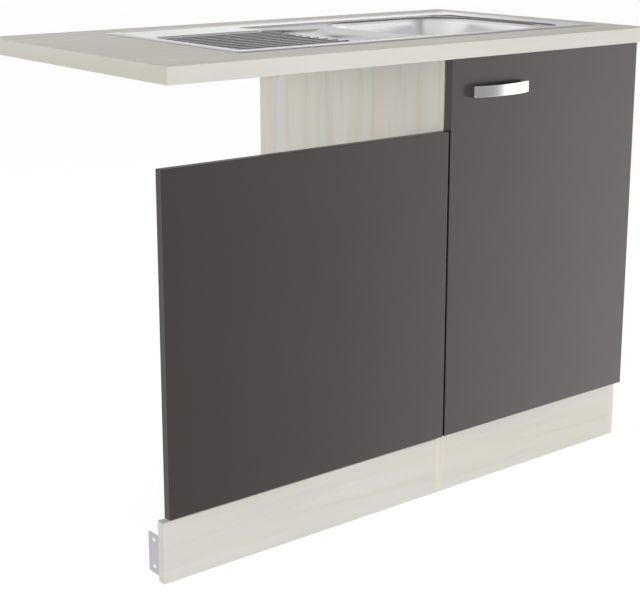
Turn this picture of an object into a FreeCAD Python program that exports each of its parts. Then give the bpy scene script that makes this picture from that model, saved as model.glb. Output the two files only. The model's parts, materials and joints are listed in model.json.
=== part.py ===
import FreeCAD, Part
import math
import os

from FreeCAD import Matrix, Rotation, Vector

# Kitchen sink unit, 110 cm long: a 50 cm sink base, a 60 cm space for a dishwasher with its front
# panel, one worktop over both and an inset sink with drainer. Millimetres.
# X runs along the unit (right is +), Y runs from the front (-) to the wall (+), Z is up.
# The origin is on the floor, under the middle of the worktop.

# ---- driving dimensions -----------------------------------------------------------------------
UNIT_LENGTH = 1100.0
UNIT_DEPTH = 600.0
UNIT_HEIGHT = 848.0
WORKTOP_THICK = 28.0
EDGING_THICK = 1.5
EDGING_RADIUS = 1.4
BOARD = 16.0
NICHE_WIDTH = 600.0
PLINTH_HEIGHT = 107.0

FRONT_SET_BACK = 27.5          # worktop's front edge to the face of the fronts
DOOR_GAP = 2.2                 # back of the door to the carcass
FRONT_THICK = 16.0
FRONT_ROUNDING = 1.0
FRONT_BOTTOM = 117.5
DOOR_HEIGHT = 700.0
DISHWASHER_FRONT_HEIGHT = 572.0
SIDE_GAP = 2.0                 # front to the line between two units
CARCASS_SET_IN = 2.0           # carcass back to the worktop's back edge
RAIL_HEIGHT = 80.0
REAR_RAIL_HEIGHT = 100.0

SINK_LENGTH = 860.0
SINK_DEPTH = 435.0
SINK_FROM_RIGHT = 47.0
SINK_FROM_FRONT = 90.0
SINK_CORNER = 14.0
SHEET = 1.0
RIM_HEIGHT = 2.5
RIM_BAND = 25.0
CUTOUT_INSET = 12.5
LEDGE_HEIGHT = 1.6             # tap ledge above the worktop
DRAINER_FLOOR = -2.4           # levels relative to the worktop's top face
RIB_TOP = 0.6
BASIN_STEP = -4.0
BOWL_DEPTH = 150.0
BOWL_LENGTH = 358.0
BOWL_WIDTH = 332.0
BOWL_CORNER = 92.0
BOWL_DRAFT = 9.0
BOWL_FILLET = 26.0
RIB_COUNT = 11
RIB_PITCH = 24.0
RIB_WIDTH = 13.0
RIB_CREST = 6.0
RIB_LENGTH = 252.0
RIB_END_BOW = 18.0             # how far the middle ribs end short of the outer ones

WASTE_FROM_BACK = 168.0        # the waste lies this far in front of the bowl's back edge
WASTE_RADIUS = 45.0
WASTE_RECESS = 2.5
SIEVE_HOLE = 1.6
SIEVE_RIVET = 2.5
OVERFLOW_DROP = 62.0

HINGE_OFFSET = 115.0           # hinge centre to the door's top or bottom edge
CUP_RADIUS = 17.5
CUP_DEPTH = 12.1
CUP_WALL = 1.0
PIN_RADIUS = 1.4
PIN_LENGTH = 18.0
PIN_CLEARANCE = 0.05
NECK_THICK = 2.6
SYSTEM_ROW = 37.0              # row of plate screws behind the carcass's front edge
SYSTEM_PITCH = 32.0

HANDLE_SPAN = 136.0
HANDLE_BOW = 10.6
HANDLE_TALL = 20.5
HANDLE_STRIP = 3.0
HANDLE_FOOT = 12.0             # stand-off of the strip's ends from the door
HANDLE_SCREWS = 124.0
HANDLE_FROM_EDGE = 45.5
HANDLE_FROM_TOP = 61.0

BRACKET_TALL = 70.0
BRACKET_REACH = 30.0
BRACKET_LEG = 24.0
BRACKET_SHEET = 1.5
BRACKET_HOLE = 2.5
BRACKET_HOLE_PITCH = 47.0
BRACKET_FROM_FLOOR = 9.0
PLINTH_SCREW_BITE = 7.5

CAM_RADIUS = 7.5
CAM_DEPTH = 12.5
CAM_REACH = 34.0
CAM_BOLT_RADIUS = 3.5
CAM_BOLT_IN_SIDE = 11.0
CAM_GRIP = 4.0                 # how far the bolt reaches into its housing
DOWEL_RADIUS = 4.0
DOWEL_IN_SIDE = 10.0
DOWEL_LENGTH = 30.0

# ---- derived places ---------------------------------------------------------------------------
X_LEFT = -UNIT_LENGTH / 2
X_RIGHT = UNIT_LENGTH / 2
Y_FRONT = -UNIT_DEPTH / 2
Y_BACK = UNIT_DEPTH / 2
Z_UNDER = UNIT_HEIGHT - WORKTOP_THICK
CAB_LEFT = X_LEFT + NICHE_WIDTH
CAB_INNER_LEFT = CAB_LEFT + BOARD
CAB_INNER_RIGHT = X_RIGHT - BOARD
FACE_Y = Y_FRONT + FRONT_SET_BACK
DOOR_BACK_Y = FACE_Y + FRONT_THICK
CARCASS_Y = DOOR_BACK_Y + DOOR_GAP
CARCASS_BACK_Y = Y_BACK - CARCASS_SET_IN
DOOR_TOP = FRONT_BOTTOM + DOOR_HEIGHT
DOOR_LEFT = CAB_LEFT + SIDE_GAP
DOOR_RIGHT = X_RIGHT - SIDE_GAP

SINK_RIGHT = X_RIGHT - SINK_FROM_RIGHT
SINK_LEFT = SINK_RIGHT - SINK_LENGTH
SINK_FRONT = Y_FRONT + SINK_FROM_FRONT
SINK_BACK = SINK_FRONT + SINK_DEPTH
BOWL_RIGHT = SINK_RIGHT - 75.0
BOWL_LEFT = BOWL_RIGHT - BOWL_LENGTH
BOWL_FRONT = SINK_FRONT + 33.0
BOWL_BACK = BOWL_FRONT + BOWL_WIDTH
BOWL_TOP_Z = UNIT_HEIGHT + BASIN_STEP
BOWL_FLOOR_Z = UNIT_HEIGHT - BOWL_DEPTH
WASTE_X = (BOWL_LEFT + BOWL_RIGHT) / 2
WASTE_Y = BOWL_BACK - WASTE_FROM_BACK
OVERFLOW_Z = UNIT_HEIGHT - OVERFLOW_DROP

# the door's pivot, measured from the outer front corner of the right side panel
PIVOT_X = X_RIGHT - 8.6
PIVOT_Y = CARCASS_Y - 10.5
CUP_X = X_RIGHT - 21.7
HINGE_HEIGHTS = {"bottom": FRONT_BOTTOM + HINGE_OFFSET, "top": DOOR_TOP - HINGE_OFFSET}

# the dishwasher front turns with the appliance's door about its own lower back edge
TILT_Y = DOOR_BACK_Y
TILT_Z = FRONT_BOTTOM

X_AXIS = Vector(1, 0, 0)
Y_AXIS = Vector(0, 1, 0)
Z_AXIS = Vector(0, 0, 1)


# ---- small building helpers -------------------------------------------------------------------
def block(x0, x1, y0, y1, z0, z1):
    return Part.makeBox(x1 - x0, y1 - y0, z1 - z0, Vector(x0, y0, z0))


def rod(radius, length, start, along):
    return Part.makeCylinder(radius, length, start, along)


def join(shapes):
    first = shapes[0]
    if len(shapes) == 1:
        return first
    return first.fuse(shapes[1:]).removeSplitter()


def group(shapes):
    return Part.makeCompound(shapes)


def round_edges(solid, radius, chosen):
    edges = [edge for edge in solid.Edges if chosen(edge)]
    return solid.makeFillet(radius, edges)


def runs_along(edge, axis):
    direction = edge.tangentAt(edge.FirstParameter)
    return direction.cross(axis).Length < 1e-6


def arc_outline(corners, z):
    """Closed level line through (x, y, radius) corners, each one rounded by a tangent arc."""
    points = [Vector(x, y, z) for x, y, radius in corners]
    starts = []
    arcs = []
    ends = []
    for index, corner in enumerate(points):
        incoming = (points[index - 1] - corner).normalize()
        outgoing = (points[(index + 1) % len(points)] - corner).normalize()
        half = incoming.getAngle(outgoing) / 2
        radius = corners[index][2]
        start = corner + incoming * (radius / math.tan(half))
        end = corner + outgoing * (radius / math.tan(half))
        middle = corner + (incoming + outgoing).normalize() * (radius / math.sin(half) - radius)
        starts.append(start)
        arcs.append(Part.Arc(start, middle, end).toShape())
        ends.append(end)
    edges = []
    for index, arc in enumerate(arcs):
        edges.append(arc)
        edges.append(Part.makeLine(ends[index], starts[(index + 1) % len(points)]))
    return Part.Wire(edges)


def inset_corners(corners, distance):
    """The same counter-clockwise corners, moved inwards along both neighbouring sides."""
    moved = []
    for index, (x, y, radius) in enumerate(corners):
        here = Vector(x, y, 0)
        along_in = (here - Vector(*corners[index - 1][:2], 0)).normalize()
        along_out = (Vector(*corners[(index + 1) % len(corners)][:2], 0) - here).normalize()
        turn = along_in.cross(along_out).z
        shift = (along_out - along_in) * (distance / turn)
        change = -distance if turn > 0 else distance
        moved.append((x + shift.x, y + shift.y, max(radius + change, 0.8)))
    return moved


def shaped_tray(corners, z_top, z_floor, draft):
    """Solid with sloping sides between an outline and the same outline moved inwards."""
    upper = arc_outline(corners, z_top)
    lower = arc_outline(inset_corners(corners, draft), z_floor)
    return Part.makeLoft([upper, lower], True, True)


def rectangle(x0, x1, y0, y1, radius):
    return [(x0, y0, radius), (x1, y0, radius), (x1, y1, radius), (x0, y1, radius)]


def tray(x0, x1, y0, y1, radius, z_top, z_floor, draft):
    return shaped_tray(rectangle(x0, x1, y0, y1, radius), z_top, z_floor, draft)


def rounded_outline(x0, x1, y0, y1, radius, z):
    return arc_outline(rectangle(x0, x1, y0, y1, radius), z)


def turned(profile, centre_x, centre_y):
    """Ring or cup turned about an upright axis, from (radius, height) corners."""
    corners = [Vector(radius, 0, height) for radius, height in profile]
    face = Part.Face(Part.makePolygon(corners + [corners[0]]))
    solid = face.revolve(Vector(0, 0, 0), Z_AXIS, 360)
    solid.translate(Vector(centre_x, centre_y, 0))
    return solid


def pipe_along(points, bend, outer, inner):
    """Tube along straight runs joined by tangent arcs."""
    corners = [Vector(*point) for point in points]
    edges = []
    start = corners[0]
    for before, corner, after in zip(corners, corners[1:], corners[2:]):
        incoming = (before - corner).normalize()
        outgoing = (after - corner).normalize()
        half = incoming.getAngle(outgoing) / 2
        reach = bend / math.tan(half)
        arc_start = corner + incoming * reach
        arc_end = corner + outgoing * reach
        bisector = (incoming + outgoing).normalize()
        arc_middle = corner + bisector * (bend / math.sin(half) - bend)
        edges.append(Part.makeLine(start, arc_start))
        edges.append(Part.Arc(arc_start, arc_middle, arc_end).toShape())
        start = arc_end
    edges.append(Part.makeLine(start, corners[-1]))
    path = Part.Wire(edges)
    direction = corners[1] - corners[0]
    skins = []
    for radius in (outer, inner):
        circle = Part.Wire([Part.makeCircle(radius, corners[0], direction)])
        skins.append(path.makePipeShell([circle], True, True))
    return skins[0].cut(skins[1])


def screw(tip, along, shank, length, head, head_thick):
    """Pan-head screw: its shank starts at tip, and the head sits on the far end."""
    body = rod(shank, length, tip, along)
    top = rod(head, head_thick, tip + along * length, along)
    return join([body, top])


# ---- worktop ----------------------------------------------------------------------------------
def sink_cutout(extra):
    inset = CUTOUT_INSET - extra
    outline = rounded_outline(SINK_LEFT + inset, SINK_RIGHT - inset, SINK_FRONT + inset,
                              SINK_BACK - inset, 12.0, Z_UNDER - 5)
    return Part.Face(outline).extrude(Vector(0, 0, WORKTOP_THICK + 10))


def worktop():
    board = block(X_LEFT + EDGING_THICK, X_RIGHT - EDGING_THICK, Y_FRONT + EDGING_THICK, Y_BACK,
                  Z_UNDER, UNIT_HEIGHT)
    return board.cut(sink_cutout(0))


def edging_front():
    strip = block(X_LEFT, X_RIGHT, Y_FRONT, Y_FRONT + EDGING_THICK, Z_UNDER, UNIT_HEIGHT)

    def outer(edge):
        at_front = edge.CenterOfMass.y < Y_FRONT + 0.01
        return at_front and runs_along(edge, X_AXIS)
    return round_edges(strip, EDGING_RADIUS, outer)


def edging_end(x_outer, inward):
    x_inner = x_outer + inward * EDGING_THICK
    strip = block(min(x_outer, x_inner), max(x_outer, x_inner), Y_FRONT + EDGING_THICK, Y_BACK,
                  Z_UNDER, UNIT_HEIGHT)

    def outer(edge):
        return abs(edge.CenterOfMass.x - x_outer) < 0.01 and runs_along(edge, Y_AXIS)
    return round_edges(strip, EDGING_RADIUS, outer)


# ---- sink -------------------------------------------------------------------------------------
def rim_plate():
    """The flange on the worktop: a bevelled outer edge up to a flat band."""
    z = UNIT_HEIGHT
    foot = tray(SINK_LEFT, SINK_RIGHT, SINK_FRONT, SINK_BACK, SINK_CORNER, z, z + 0.7, 0.3)
    crown = tray(SINK_LEFT + 0.3, SINK_RIGHT - 0.3, SINK_FRONT + 0.3, SINK_BACK - 0.3,
                 SINK_CORNER - 0.3, z + 0.7, z + RIM_HEIGHT, 5.0)
    return foot.fuse(crown)


def rim_hollow():
    """Space under the raised band, inside the line where the rim meets the worktop."""
    z = UNIT_HEIGHT
    return tray(SINK_LEFT + 4.5, SINK_RIGHT - 4.5, SINK_FRONT + 4.5, SINK_BACK - 4.5, 10.0,
                z - 0.01, z + RIM_HEIGHT - SHEET, 4.0)


def pan_spaces(grow, drop):
    """The pressed levels inside the rim; grow and drop give the outer skin of the same pressing."""
    z = UNIT_HEIGHT
    band = RIM_BAND - grow
    ledge = tray(SINK_LEFT + band, SINK_RIGHT - band, SINK_FRONT + band, SINK_BACK - band, 20.0,
                 z + RIM_HEIGHT - drop, z + LEDGE_HEIGHT - drop, 1.5)
    front = SINK_FRONT + 27.5
    drainer = tray(SINK_LEFT + 33.0 - grow, BOWL_LEFT - 40.0 + grow, front - grow,
                   SINK_BACK - 128.0 + grow, 16.0, z + LEDGE_HEIGHT - drop,
                   z + DRAINER_FLOOR - drop, 3.0)
    edge = [(BOWL_RIGHT + 13.0, front, 40.0), (BOWL_RIGHT + 13.0, BOWL_BACK + 14.0, 40.0),
            (BOWL_LEFT - 120.0, BOWL_BACK + 14.0, 8.0), (BOWL_LEFT - 49.0, BOWL_BACK - 93.0, 22.0),
            (BOWL_LEFT - 95.0, BOWL_BACK - 175.0, 60.0), (BOWL_LEFT - 104.0, front, 6.0)]
    basin = shaped_tray(inset_corners(edge, -grow), z + LEDGE_HEIGHT - drop,
                        z + BASIN_STEP - drop, 4.0)
    return join([ledge, drainer, basin])


def bowl_space(grow):
    """The deep-drawn bowl, with drafted walls and a rounded foot."""
    top = BOWL_TOP_Z + (0.02 if grow == 0 else -SHEET)
    floor = BOWL_FLOOR_Z - grow
    body = tray(BOWL_LEFT - grow, BOWL_RIGHT + grow, BOWL_FRONT - grow, BOWL_BACK + grow,
                BOWL_CORNER + grow, top, floor, BOWL_DRAFT)

    def foot(edge):
        return abs(edge.BoundBox.ZMax - floor) < 0.01 and edge.BoundBox.ZLength < 0.01
    return round_edges(body, BOWL_FILLET + grow, foot)


def rib_right_end(index):
    """Ribs end on a shallow arc, the middle ones furthest from the bowl."""
    along = 2.0 * index / (RIB_COUNT - 1) - 1.0
    return SINK_LEFT + 40.0 + RIB_LENGTH - RIB_END_BOW * (1.0 - along * along)


def ribs(shrink, drop):
    """Drainer ribs: long ridges with rounded ends that rise from the drainer's floor."""
    first_y = SINK_FRONT + 44.0
    base_z = UNIT_HEIGHT + DRAINER_FLOOR - drop - 0.01
    crest_z = UNIT_HEIGHT + RIB_TOP - drop
    ridges = []
    for index in range(RIB_COUNT):
        y = first_y + index * RIB_PITCH
        half = RIB_WIDTH / 2 - shrink
        slope = (RIB_WIDTH - RIB_CREST) / 2
        ridges.append(tray(SINK_LEFT + 40.0 + shrink, rib_right_end(index) - shrink, y - half,
                           y + half, half - 0.05, base_z, crest_z, slope))
    return ridges


def waste_axis_rod(radius, z0, z1):
    return rod(radius, z1 - z0, Vector(WASTE_X, WASTE_Y, z0), Z_AXIS)


def overflow_place():
    """Where the overflow meets the bowl's back wall, and how far that wall leans."""
    fall = BOWL_TOP_Z - BOWL_FLOOR_Z
    lean = math.atan(BOWL_DRAFT / fall)
    y = BOWL_BACK - (BOWL_TOP_Z - OVERFLOW_Z) * BOWL_DRAFT / fall
    return y, lean


def on_overflow(shape):
    """Moves a shape made at the origin, facing -Y, onto the leaning back wall."""
    y, lean = overflow_place()
    shape.rotate(Vector(0, 0, 0), X_AXIS, -math.degrees(lean))
    shape.translate(Vector(WASTE_X, y, OVERFLOW_Z))
    return shape


def sink():
    skin = rim_plate().fuse([pan_spaces(SHEET, SHEET), bowl_space(SHEET)])
    recess = waste_axis_rod(58.0, BOWL_FLOOR_Z - WASTE_RECESS, BOWL_FLOOR_Z + 0.02)
    recess_skin = waste_axis_rod(58.0 + SHEET, BOWL_FLOOR_Z - WASTE_RECESS - SHEET, BOWL_FLOOR_Z)
    under_rim = rim_hollow().cut(pan_spaces(SHEET, SHEET))
    skin = skin.fuse(recess_skin).cut(under_rim)
    inside = pan_spaces(0, 0).cut(Part.makeCompound(ribs(0, 0)))
    pressing = skin.cut(inside)
    pressing = pressing.cut(bowl_space(0))
    pressing = pressing.cut([recess, waste_axis_rod(WASTE_RADIUS, BOWL_FLOOR_Z - 20, BOWL_FLOOR_Z)])
    pressing = pressing.cut(Part.makeCompound(ribs(SHEET, SHEET)))
    mouth = on_overflow(rod(13.0, 12.0, Vector(0, -5, 0), Y_AXIS))
    return pressing.cut(mouth).removeSplitter()


def sink_seal():
    """Foam strip between the rim and the worktop's cut-out edge."""
    z = UNIT_HEIGHT
    outer = Part.Face(rounded_outline(SINK_LEFT + 5.5, SINK_RIGHT - 5.5, SINK_FRONT + 5.5,
                                      SINK_BACK - 5.5, 9.0, z))
    inner = Part.Face(rounded_outline(SINK_LEFT + 11.5, SINK_RIGHT - 11.5, SINK_FRONT + 11.5,
                                      SINK_BACK - 11.5, 11.0, z))
    strip = outer.cut(inner).extrude(Vector(0, 0, RIM_HEIGHT))
    return strip.common(rim_hollow())


def clip_places():
    """Clip positions: a point on the cut-out's edge and the outward direction there."""
    places = []
    for x in (SINK_LEFT + 85, CAB_LEFT - 60, CAB_LEFT + 110, SINK_RIGHT - 85):
        places.append((Vector(x, SINK_FRONT + CUTOUT_INSET, 0), 270))
        places.append((Vector(x, SINK_BACK - CUTOUT_INSET, 0), 90))
    middle = (SINK_FRONT + SINK_BACK) / 2
    places.append((Vector(SINK_LEFT + CUTOUT_INSET, middle, 0), 180))
    places.append((Vector(SINK_RIGHT - CUTOUT_INSET, middle, 0), 0))
    return places


def turned_to(shape, point, degrees):
    shape.rotate(Vector(0, 0, 0), Z_AXIS, degrees)
    shape.translate(point)
    return shape


def sink_clips():
    """Bent strips that hang from the rim and claw the worktop's underside."""
    clips = []
    for point, degrees in clip_places():
        strip = block(-3.2, -2.0, -8, 8, Z_UNDER - 9, UNIT_HEIGHT + RIM_HEIGHT - SHEET)
        shelf = block(-2.0, 10.0, -8, 8, Z_UNDER - 9, Z_UNDER - 7.6)
        claw = block(8.6, 10.0, -8, 8, Z_UNDER - 7.6, Z_UNDER)
        hole = rod(2.05, 4, Vector(3.5, 0, Z_UNDER - 10), Z_AXIS)
        clips.append(turned_to(join([strip, shelf, claw]).cut(hole), point, degrees))
    return group(clips)


def sink_clip_screws():
    screws = []
    for point, degrees in clip_places():
        made = screw(Vector(3.5, 0, Z_UNDER), Vector(0, 0, -1), 2.0, 9.0, 3.6, 1.8)
        screws.append(turned_to(made, point, degrees))
    return group(screws)


# ---- waste and trap ---------------------------------------------------------------------------
def waste_flange():
    """Pressed strainer seat: a ring in the bowl's recess and a cup below it."""
    seat = BOWL_FLOOR_Z - WASTE_RECESS
    profile = [(44.0, seat), (56.5, seat), (55.5, seat + 1.2), (43.2, seat + 1.2), (42.6, seat),
               (39.0, seat - 33.5), (5.0, seat - 33.5), (5.0, seat - 34.5), (40.0, seat - 34.5)]
    cup = turned(profile, WASTE_X, WASTE_Y)
    drains = []
    for step in range(8):
        angle = math.radians(22.5 + 45 * step)
        centre = Vector(WASTE_X + 24 * math.cos(angle), WASTE_Y + 24 * math.sin(angle), seat - 36)
        drains.append(rod(6.0, 4, centre, Z_AXIS))
    return cup.cut(drains)


def waste_washer():
    under = BOWL_FLOOR_Z - WASTE_RECESS - SHEET
    return turned([(46, under - 3), (57, under - 3), (57, under), (46, under)], WASTE_X, WASTE_Y)


def waste_body():
    """Moulded waste under the bowl: collar, cup, side inlet and threaded outlet."""
    top = BOWL_FLOOR_Z - WASTE_RECESS - SHEET - 3
    profile = [(45.0, top), (57.0, top), (57.0, top - 4), (48.0, top - 4), (48.0, top - 42),
               (23.9, top - 48), (23.9, top - 70), (20.5, top - 70), (20.5, top - 46),
               (45.0, top - 39.5)]
    shell = turned(profile, WASTE_X, WASTE_Y)
    boss = turned([(3.0, top - 46), (8.0, top - 46), (8.0, top - 36), (3.0, top - 36)],
                  WASTE_X, WASTE_Y)
    spokes = []
    for degrees in (0, 60, 120):
        bar = block(-46, 46, -1.5, 1.5, top - 40, top - 36)
        spokes.append(turned_to(bar, Vector(WASTE_X, WASTE_Y, 0), degrees))
    core = waste_axis_rod(3.0, top - 50, top - 30)
    inlet_start = Vector(WASTE_X, WASTE_Y + 46.0, top - 22)
    inlet = rod(12.0, 24.0, inlet_start, Y_AXIS)
    bore = rod(9.1, 40.0, inlet_start - Y_AXIS * 6, Y_AXIS)
    spider = join(spokes).cut(core)
    return join([shell, spider, boss, inlet]).cut(bore)


def waste_screw():
    seat = BOWL_FLOOR_Z - WASTE_RECESS - 33.5
    shank = waste_axis_rod(2.95, seat - 14, seat)
    head = waste_axis_rod(8.0, seat, seat + 2.0)
    return join([shank, head])


def strainer_seat():
    return BOWL_FLOOR_Z - WASTE_RECESS + 1.2


def strainer_basket():
    """Lift-out basket: rolled edge, leaning wall and a narrow foot that carries the sieve."""
    seat = strainer_seat()
    profile = [(35.0, seat - 26), (37.5, seat + 0.3), (46.0, seat + 0.3), (46.0, seat + 1.7),
               (36.4, seat + 1.7), (34.0, seat - 25), (31.5, seat - 25), (31.5, seat - 26)]
    return turned(profile, WASTE_X, WASTE_Y)


def strainer_sieve():
    """Pierced disc on the basket's foot."""
    seat = strainer_seat()
    cuts = [waste_axis_rod(SIEVE_RIVET + 0.05, seat - 26, seat - 23)]
    for radius, count in ((12.0, 8), (20.0, 14), (28.0, 20)):
        for step in range(count):
            angle = 2 * math.pi * step / count
            centre = Vector(WASTE_X + radius * math.cos(angle), WASTE_Y + radius * math.sin(angle),
                            seat - 26)
            cuts.append(rod(SIEVE_HOLE, 3, centre, Z_AXIS))
    return waste_axis_rod(33.6, seat - 25, seat - 24).cut(cuts)


def strainer_knob():
    """Knob on a stem, riveted through the sieve."""
    seat = strainer_seat()
    profile = [(0, seat - 26.6), (4.5, seat - 26.6), (4.5, seat - 25), (SIEVE_RIVET, seat - 25),
               (SIEVE_RIVET, seat - 24), (4.0, seat - 24), (4.0, seat - 6), (9.0, seat - 4),
               (9.0, seat), (7.0, seat + 2), (0, seat + 2)]
    return turned(profile, WASTE_X, WASTE_Y)


def overflow_grille():
    """Slotted cover on the bowl's back wall with its screw boss."""
    plate = rod(17.0, 1.6, Vector(0, -1.65, 0), Y_AXIS)
    slots = []
    for step in (-2, -1, 1, 2):
        height = 9.5 if abs(step) == 1 else 6.5
        slots.append(block(step * 5.0 - 1.4, step * 5.0 + 1.4, -3, 3, -height, height))
    stem = rod(2.5, 8.0, Vector(0, -1.6, 0), Y_AXIS)
    return on_overflow(join([plate.cut(slots), stem]))


def overflow_elbow():
    """Moulded box behind the wall with a spigot pointing down."""
    cheek = SHEET + 0.15
    drum = rod(19.0, 18.0, Vector(0, cheek, 0), Y_AXIS)
    hollow = rod(13.0, 16.0, Vector(0, cheek - 0.5, 0), Y_AXIS)
    boss = rod(4.5, 13.0, Vector(0, cheek + 5, 0), Y_AXIS)
    bore = rod(2.5, 9.0, Vector(0, cheek - 1, 0), Y_AXIS)
    shell = join([drum.cut(hollow), boss]).cut(bore)
    placed = on_overflow(shell)
    spigot_y = overflow_pipe_y()
    spigot = rod(7.4, 18.0, Vector(WASTE_X, spigot_y, OVERFLOW_Z - 34), Z_AXIS)
    throat = rod(5.8, 27.0, Vector(WASTE_X, spigot_y, OVERFLOW_Z - 35), Z_AXIS)
    return join([placed, spigot]).cut(throat)


def overflow_pipe_y():
    return overflow_place()[0] + 11.0


def overflow_pipe():
    """Bent plastic pipe from the overflow down and across to the waste body."""
    inlet_z = BOWL_FLOOR_Z - WASTE_RECESS - SHEET - 3 - 22
    y = overflow_pipe_y()
    route = [(WASTE_X, y, OVERFLOW_Z - 22), (WASTE_X, y, inlet_z), (WASTE_X, WASTE_Y + 48.5, inlet_z)]
    return pipe_along(route, 28.0, 9.0, 7.5)


def trap_parts():
    """Bottle trap: union nut, head with inlet and outlet, screw-on cup and outlet pipe."""
    joint_z = BOWL_FLOOR_Z - WASTE_RECESS - SHEET - 3 - 70
    nut_profile = [(20.6, joint_z - 8), (29, joint_z - 8), (29, joint_z + 14),
                   (24.0, joint_z + 14), (24.0, joint_z), (20.6, joint_z)]
    nut = turned(nut_profile, WASTE_X, WASTE_Y)
    grips = []
    for step in range(12):
        bar = block(28.5, 31.0, -2.2, 2.2, joint_z - 8, joint_z + 14)
        grips.append(turned_to(bar, Vector(WASTE_X, WASTE_Y, 0), 30 * step))
    nut = join([nut] + grips)
    head_top = joint_z - 32
    head_profile = [(18.4, joint_z), (20.5, joint_z), (20.5, head_top), (34, head_top - 6),
                    (34, head_top - 74), (31.5, head_top - 74), (31.5, head_top - 8),
                    (20.5, head_top - 3), (20.5, head_top - 100), (18.4, head_top - 100)]
    head = turned(head_profile, WASTE_X, WASTE_Y)
    outlet_z = head_top - 28
    collar = rod(24.0, 30.0, Vector(WASTE_X, WASTE_Y + 30, outlet_z), Y_AXIS)
    bore = rod(19.25, 60.0, Vector(WASTE_X, WASTE_Y + 24, outlet_z), Y_AXIS)
    inlet_tube = waste_axis_rod(20.5, head_top - 100, joint_z)
    bore = bore.cut(inlet_tube)
    head = join([head, collar]).cut(bore)
    cup_profile = [(34.0, head_top - 56), (37.5, head_top - 56), (37.5, head_top - 80),
                   (33.0, head_top - 126), (0, head_top - 129), (0, head_top - 126),
                   (30.5, head_top - 123), (34.0, head_top - 78)]
    cup = turned(cup_profile, WASTE_X, WASTE_Y)
    pipe_start = Vector(WASTE_X, WASTE_Y + 40, outlet_z)
    pipe_end = CARCASS_BACK_Y - 8
    shoulder = Vector(WASTE_X, WASTE_Y + 63, outlet_z)
    spigot = rod(19.2, shoulder.y - pipe_start.y, pipe_start, Y_AXIS)
    pipe = join([spigot, rod(20.0, pipe_end - shoulder.y, shoulder, Y_AXIS)])
    pipe = pipe.cut(rod(17.6, pipe_end - pipe_start.y, pipe_start, Y_AXIS))
    return {"trap_nut": nut, "trap_head": head, "trap_cup": cup, "trap_outlet_pipe": pipe}


# ---- carcass ----------------------------------------------------------------------------------
def board_joints():
    """Each end joint of the level boards: inner face, inward direction, place, and cam side."""
    joints = []
    rear = CARCASS_BACK_Y - BOARD / 2
    for x_inner, inward in ((CAB_INNER_LEFT, 1), (CAB_INNER_RIGHT, -1)):
        for y in (CARCASS_Y + 60, CARCASS_BACK_Y - 60):
            joints.append((x_inner, inward, y, PLINTH_HEIGHT + BOARD / 2, "below"))
        joints.append((x_inner, inward, CARCASS_Y + BOARD / 2, Z_UNDER - 28, "behind"))
        joints.append((x_inner, inward, rear, Z_UNDER - 35, "before"))
        joints.append((x_inner, inward, rear, PLINTH_HEIGHT + BOARD + 35, "before"))
    return joints


def cam_housing(joint):
    x_inner, inward, y, z, side = joint
    x = x_inner + inward * CAM_REACH
    mouths = {
        "below": (Vector(x, y, z - BOARD / 2), Z_AXIS),
        "behind": (Vector(x, y + BOARD / 2, z), -Y_AXIS),
        "before": (Vector(x, y - BOARD / 2, z), Y_AXIS),
    }
    mouth, into_board = mouths[side]
    return rod(CAM_RADIUS, CAM_DEPTH, mouth, into_board).cut(cam_bolt(joint))


def cam_bolt(joint):
    x_inner, inward, y, z, _ = joint
    start = Vector(x_inner - inward * CAM_BOLT_IN_SIDE, y, z)
    reach = CAM_BOLT_IN_SIDE + CAM_REACH - CAM_RADIUS + CAM_GRIP
    return rod(CAM_BOLT_RADIUS, reach, start, X_AXIS * inward)


def dowel(joint):
    x_inner, inward, y, z, side = joint
    if side == "below":
        y += 40
    else:
        z += 32 if z < UNIT_HEIGHT / 2 else -32
    start = Vector(x_inner - inward * DOWEL_IN_SIDE, y, z)
    return rod(DOWEL_RADIUS, DOWEL_LENGTH, start, X_AXIS * inward)


def carcass_fittings():
    joints = board_joints()
    return {
        "cam_housings": [cam_housing(joint) for joint in joints],
        "cam_bolts": [cam_bolt(joint) for joint in joints],
        "wood_dowels": [dowel(joint) for joint in joints],
    }


def carcass_boards():
    left = block(CAB_LEFT, CAB_INNER_LEFT, CARCASS_Y, CARCASS_BACK_Y, 0, Z_UNDER)
    right = block(CAB_INNER_RIGHT, X_RIGHT, CARCASS_Y, CARCASS_BACK_Y, 0, Z_UNDER)
    span = (CAB_INNER_LEFT, CAB_INNER_RIGHT)
    floor = block(*span, CARCASS_Y, CARCASS_BACK_Y, PLINTH_HEIGHT, PLINTH_HEIGHT + BOARD)
    front = block(*span, CARCASS_Y, CARCASS_Y + BOARD, Z_UNDER - RAIL_HEIGHT, Z_UNDER)
    rear_y = (CARCASS_BACK_Y - BOARD, CARCASS_BACK_Y)
    upper = block(*span, *rear_y, Z_UNDER - REAR_RAIL_HEIGHT, Z_UNDER)
    lower_z = PLINTH_HEIGHT + BOARD
    lower = block(*span, *rear_y, lower_z, lower_z + REAR_RAIL_HEIGHT)
    return {
        "side_panel_left": left,
        "side_panel_right": right,
        "bottom_panel": floor,
        "front_rail": front,
        "rear_rail_top": upper,
        "rear_rail_bottom": lower,
    }


# ---- worktop angles ---------------------------------------------------------------------------
def worktop_angle_places():
    places = []
    for y in (SINK_FRONT - 7.0, SINK_BACK + 20.0):
        places.append((CAB_INNER_LEFT, 1, y))
        places.append((CAB_INNER_RIGHT, -1, y))
    return places


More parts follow.
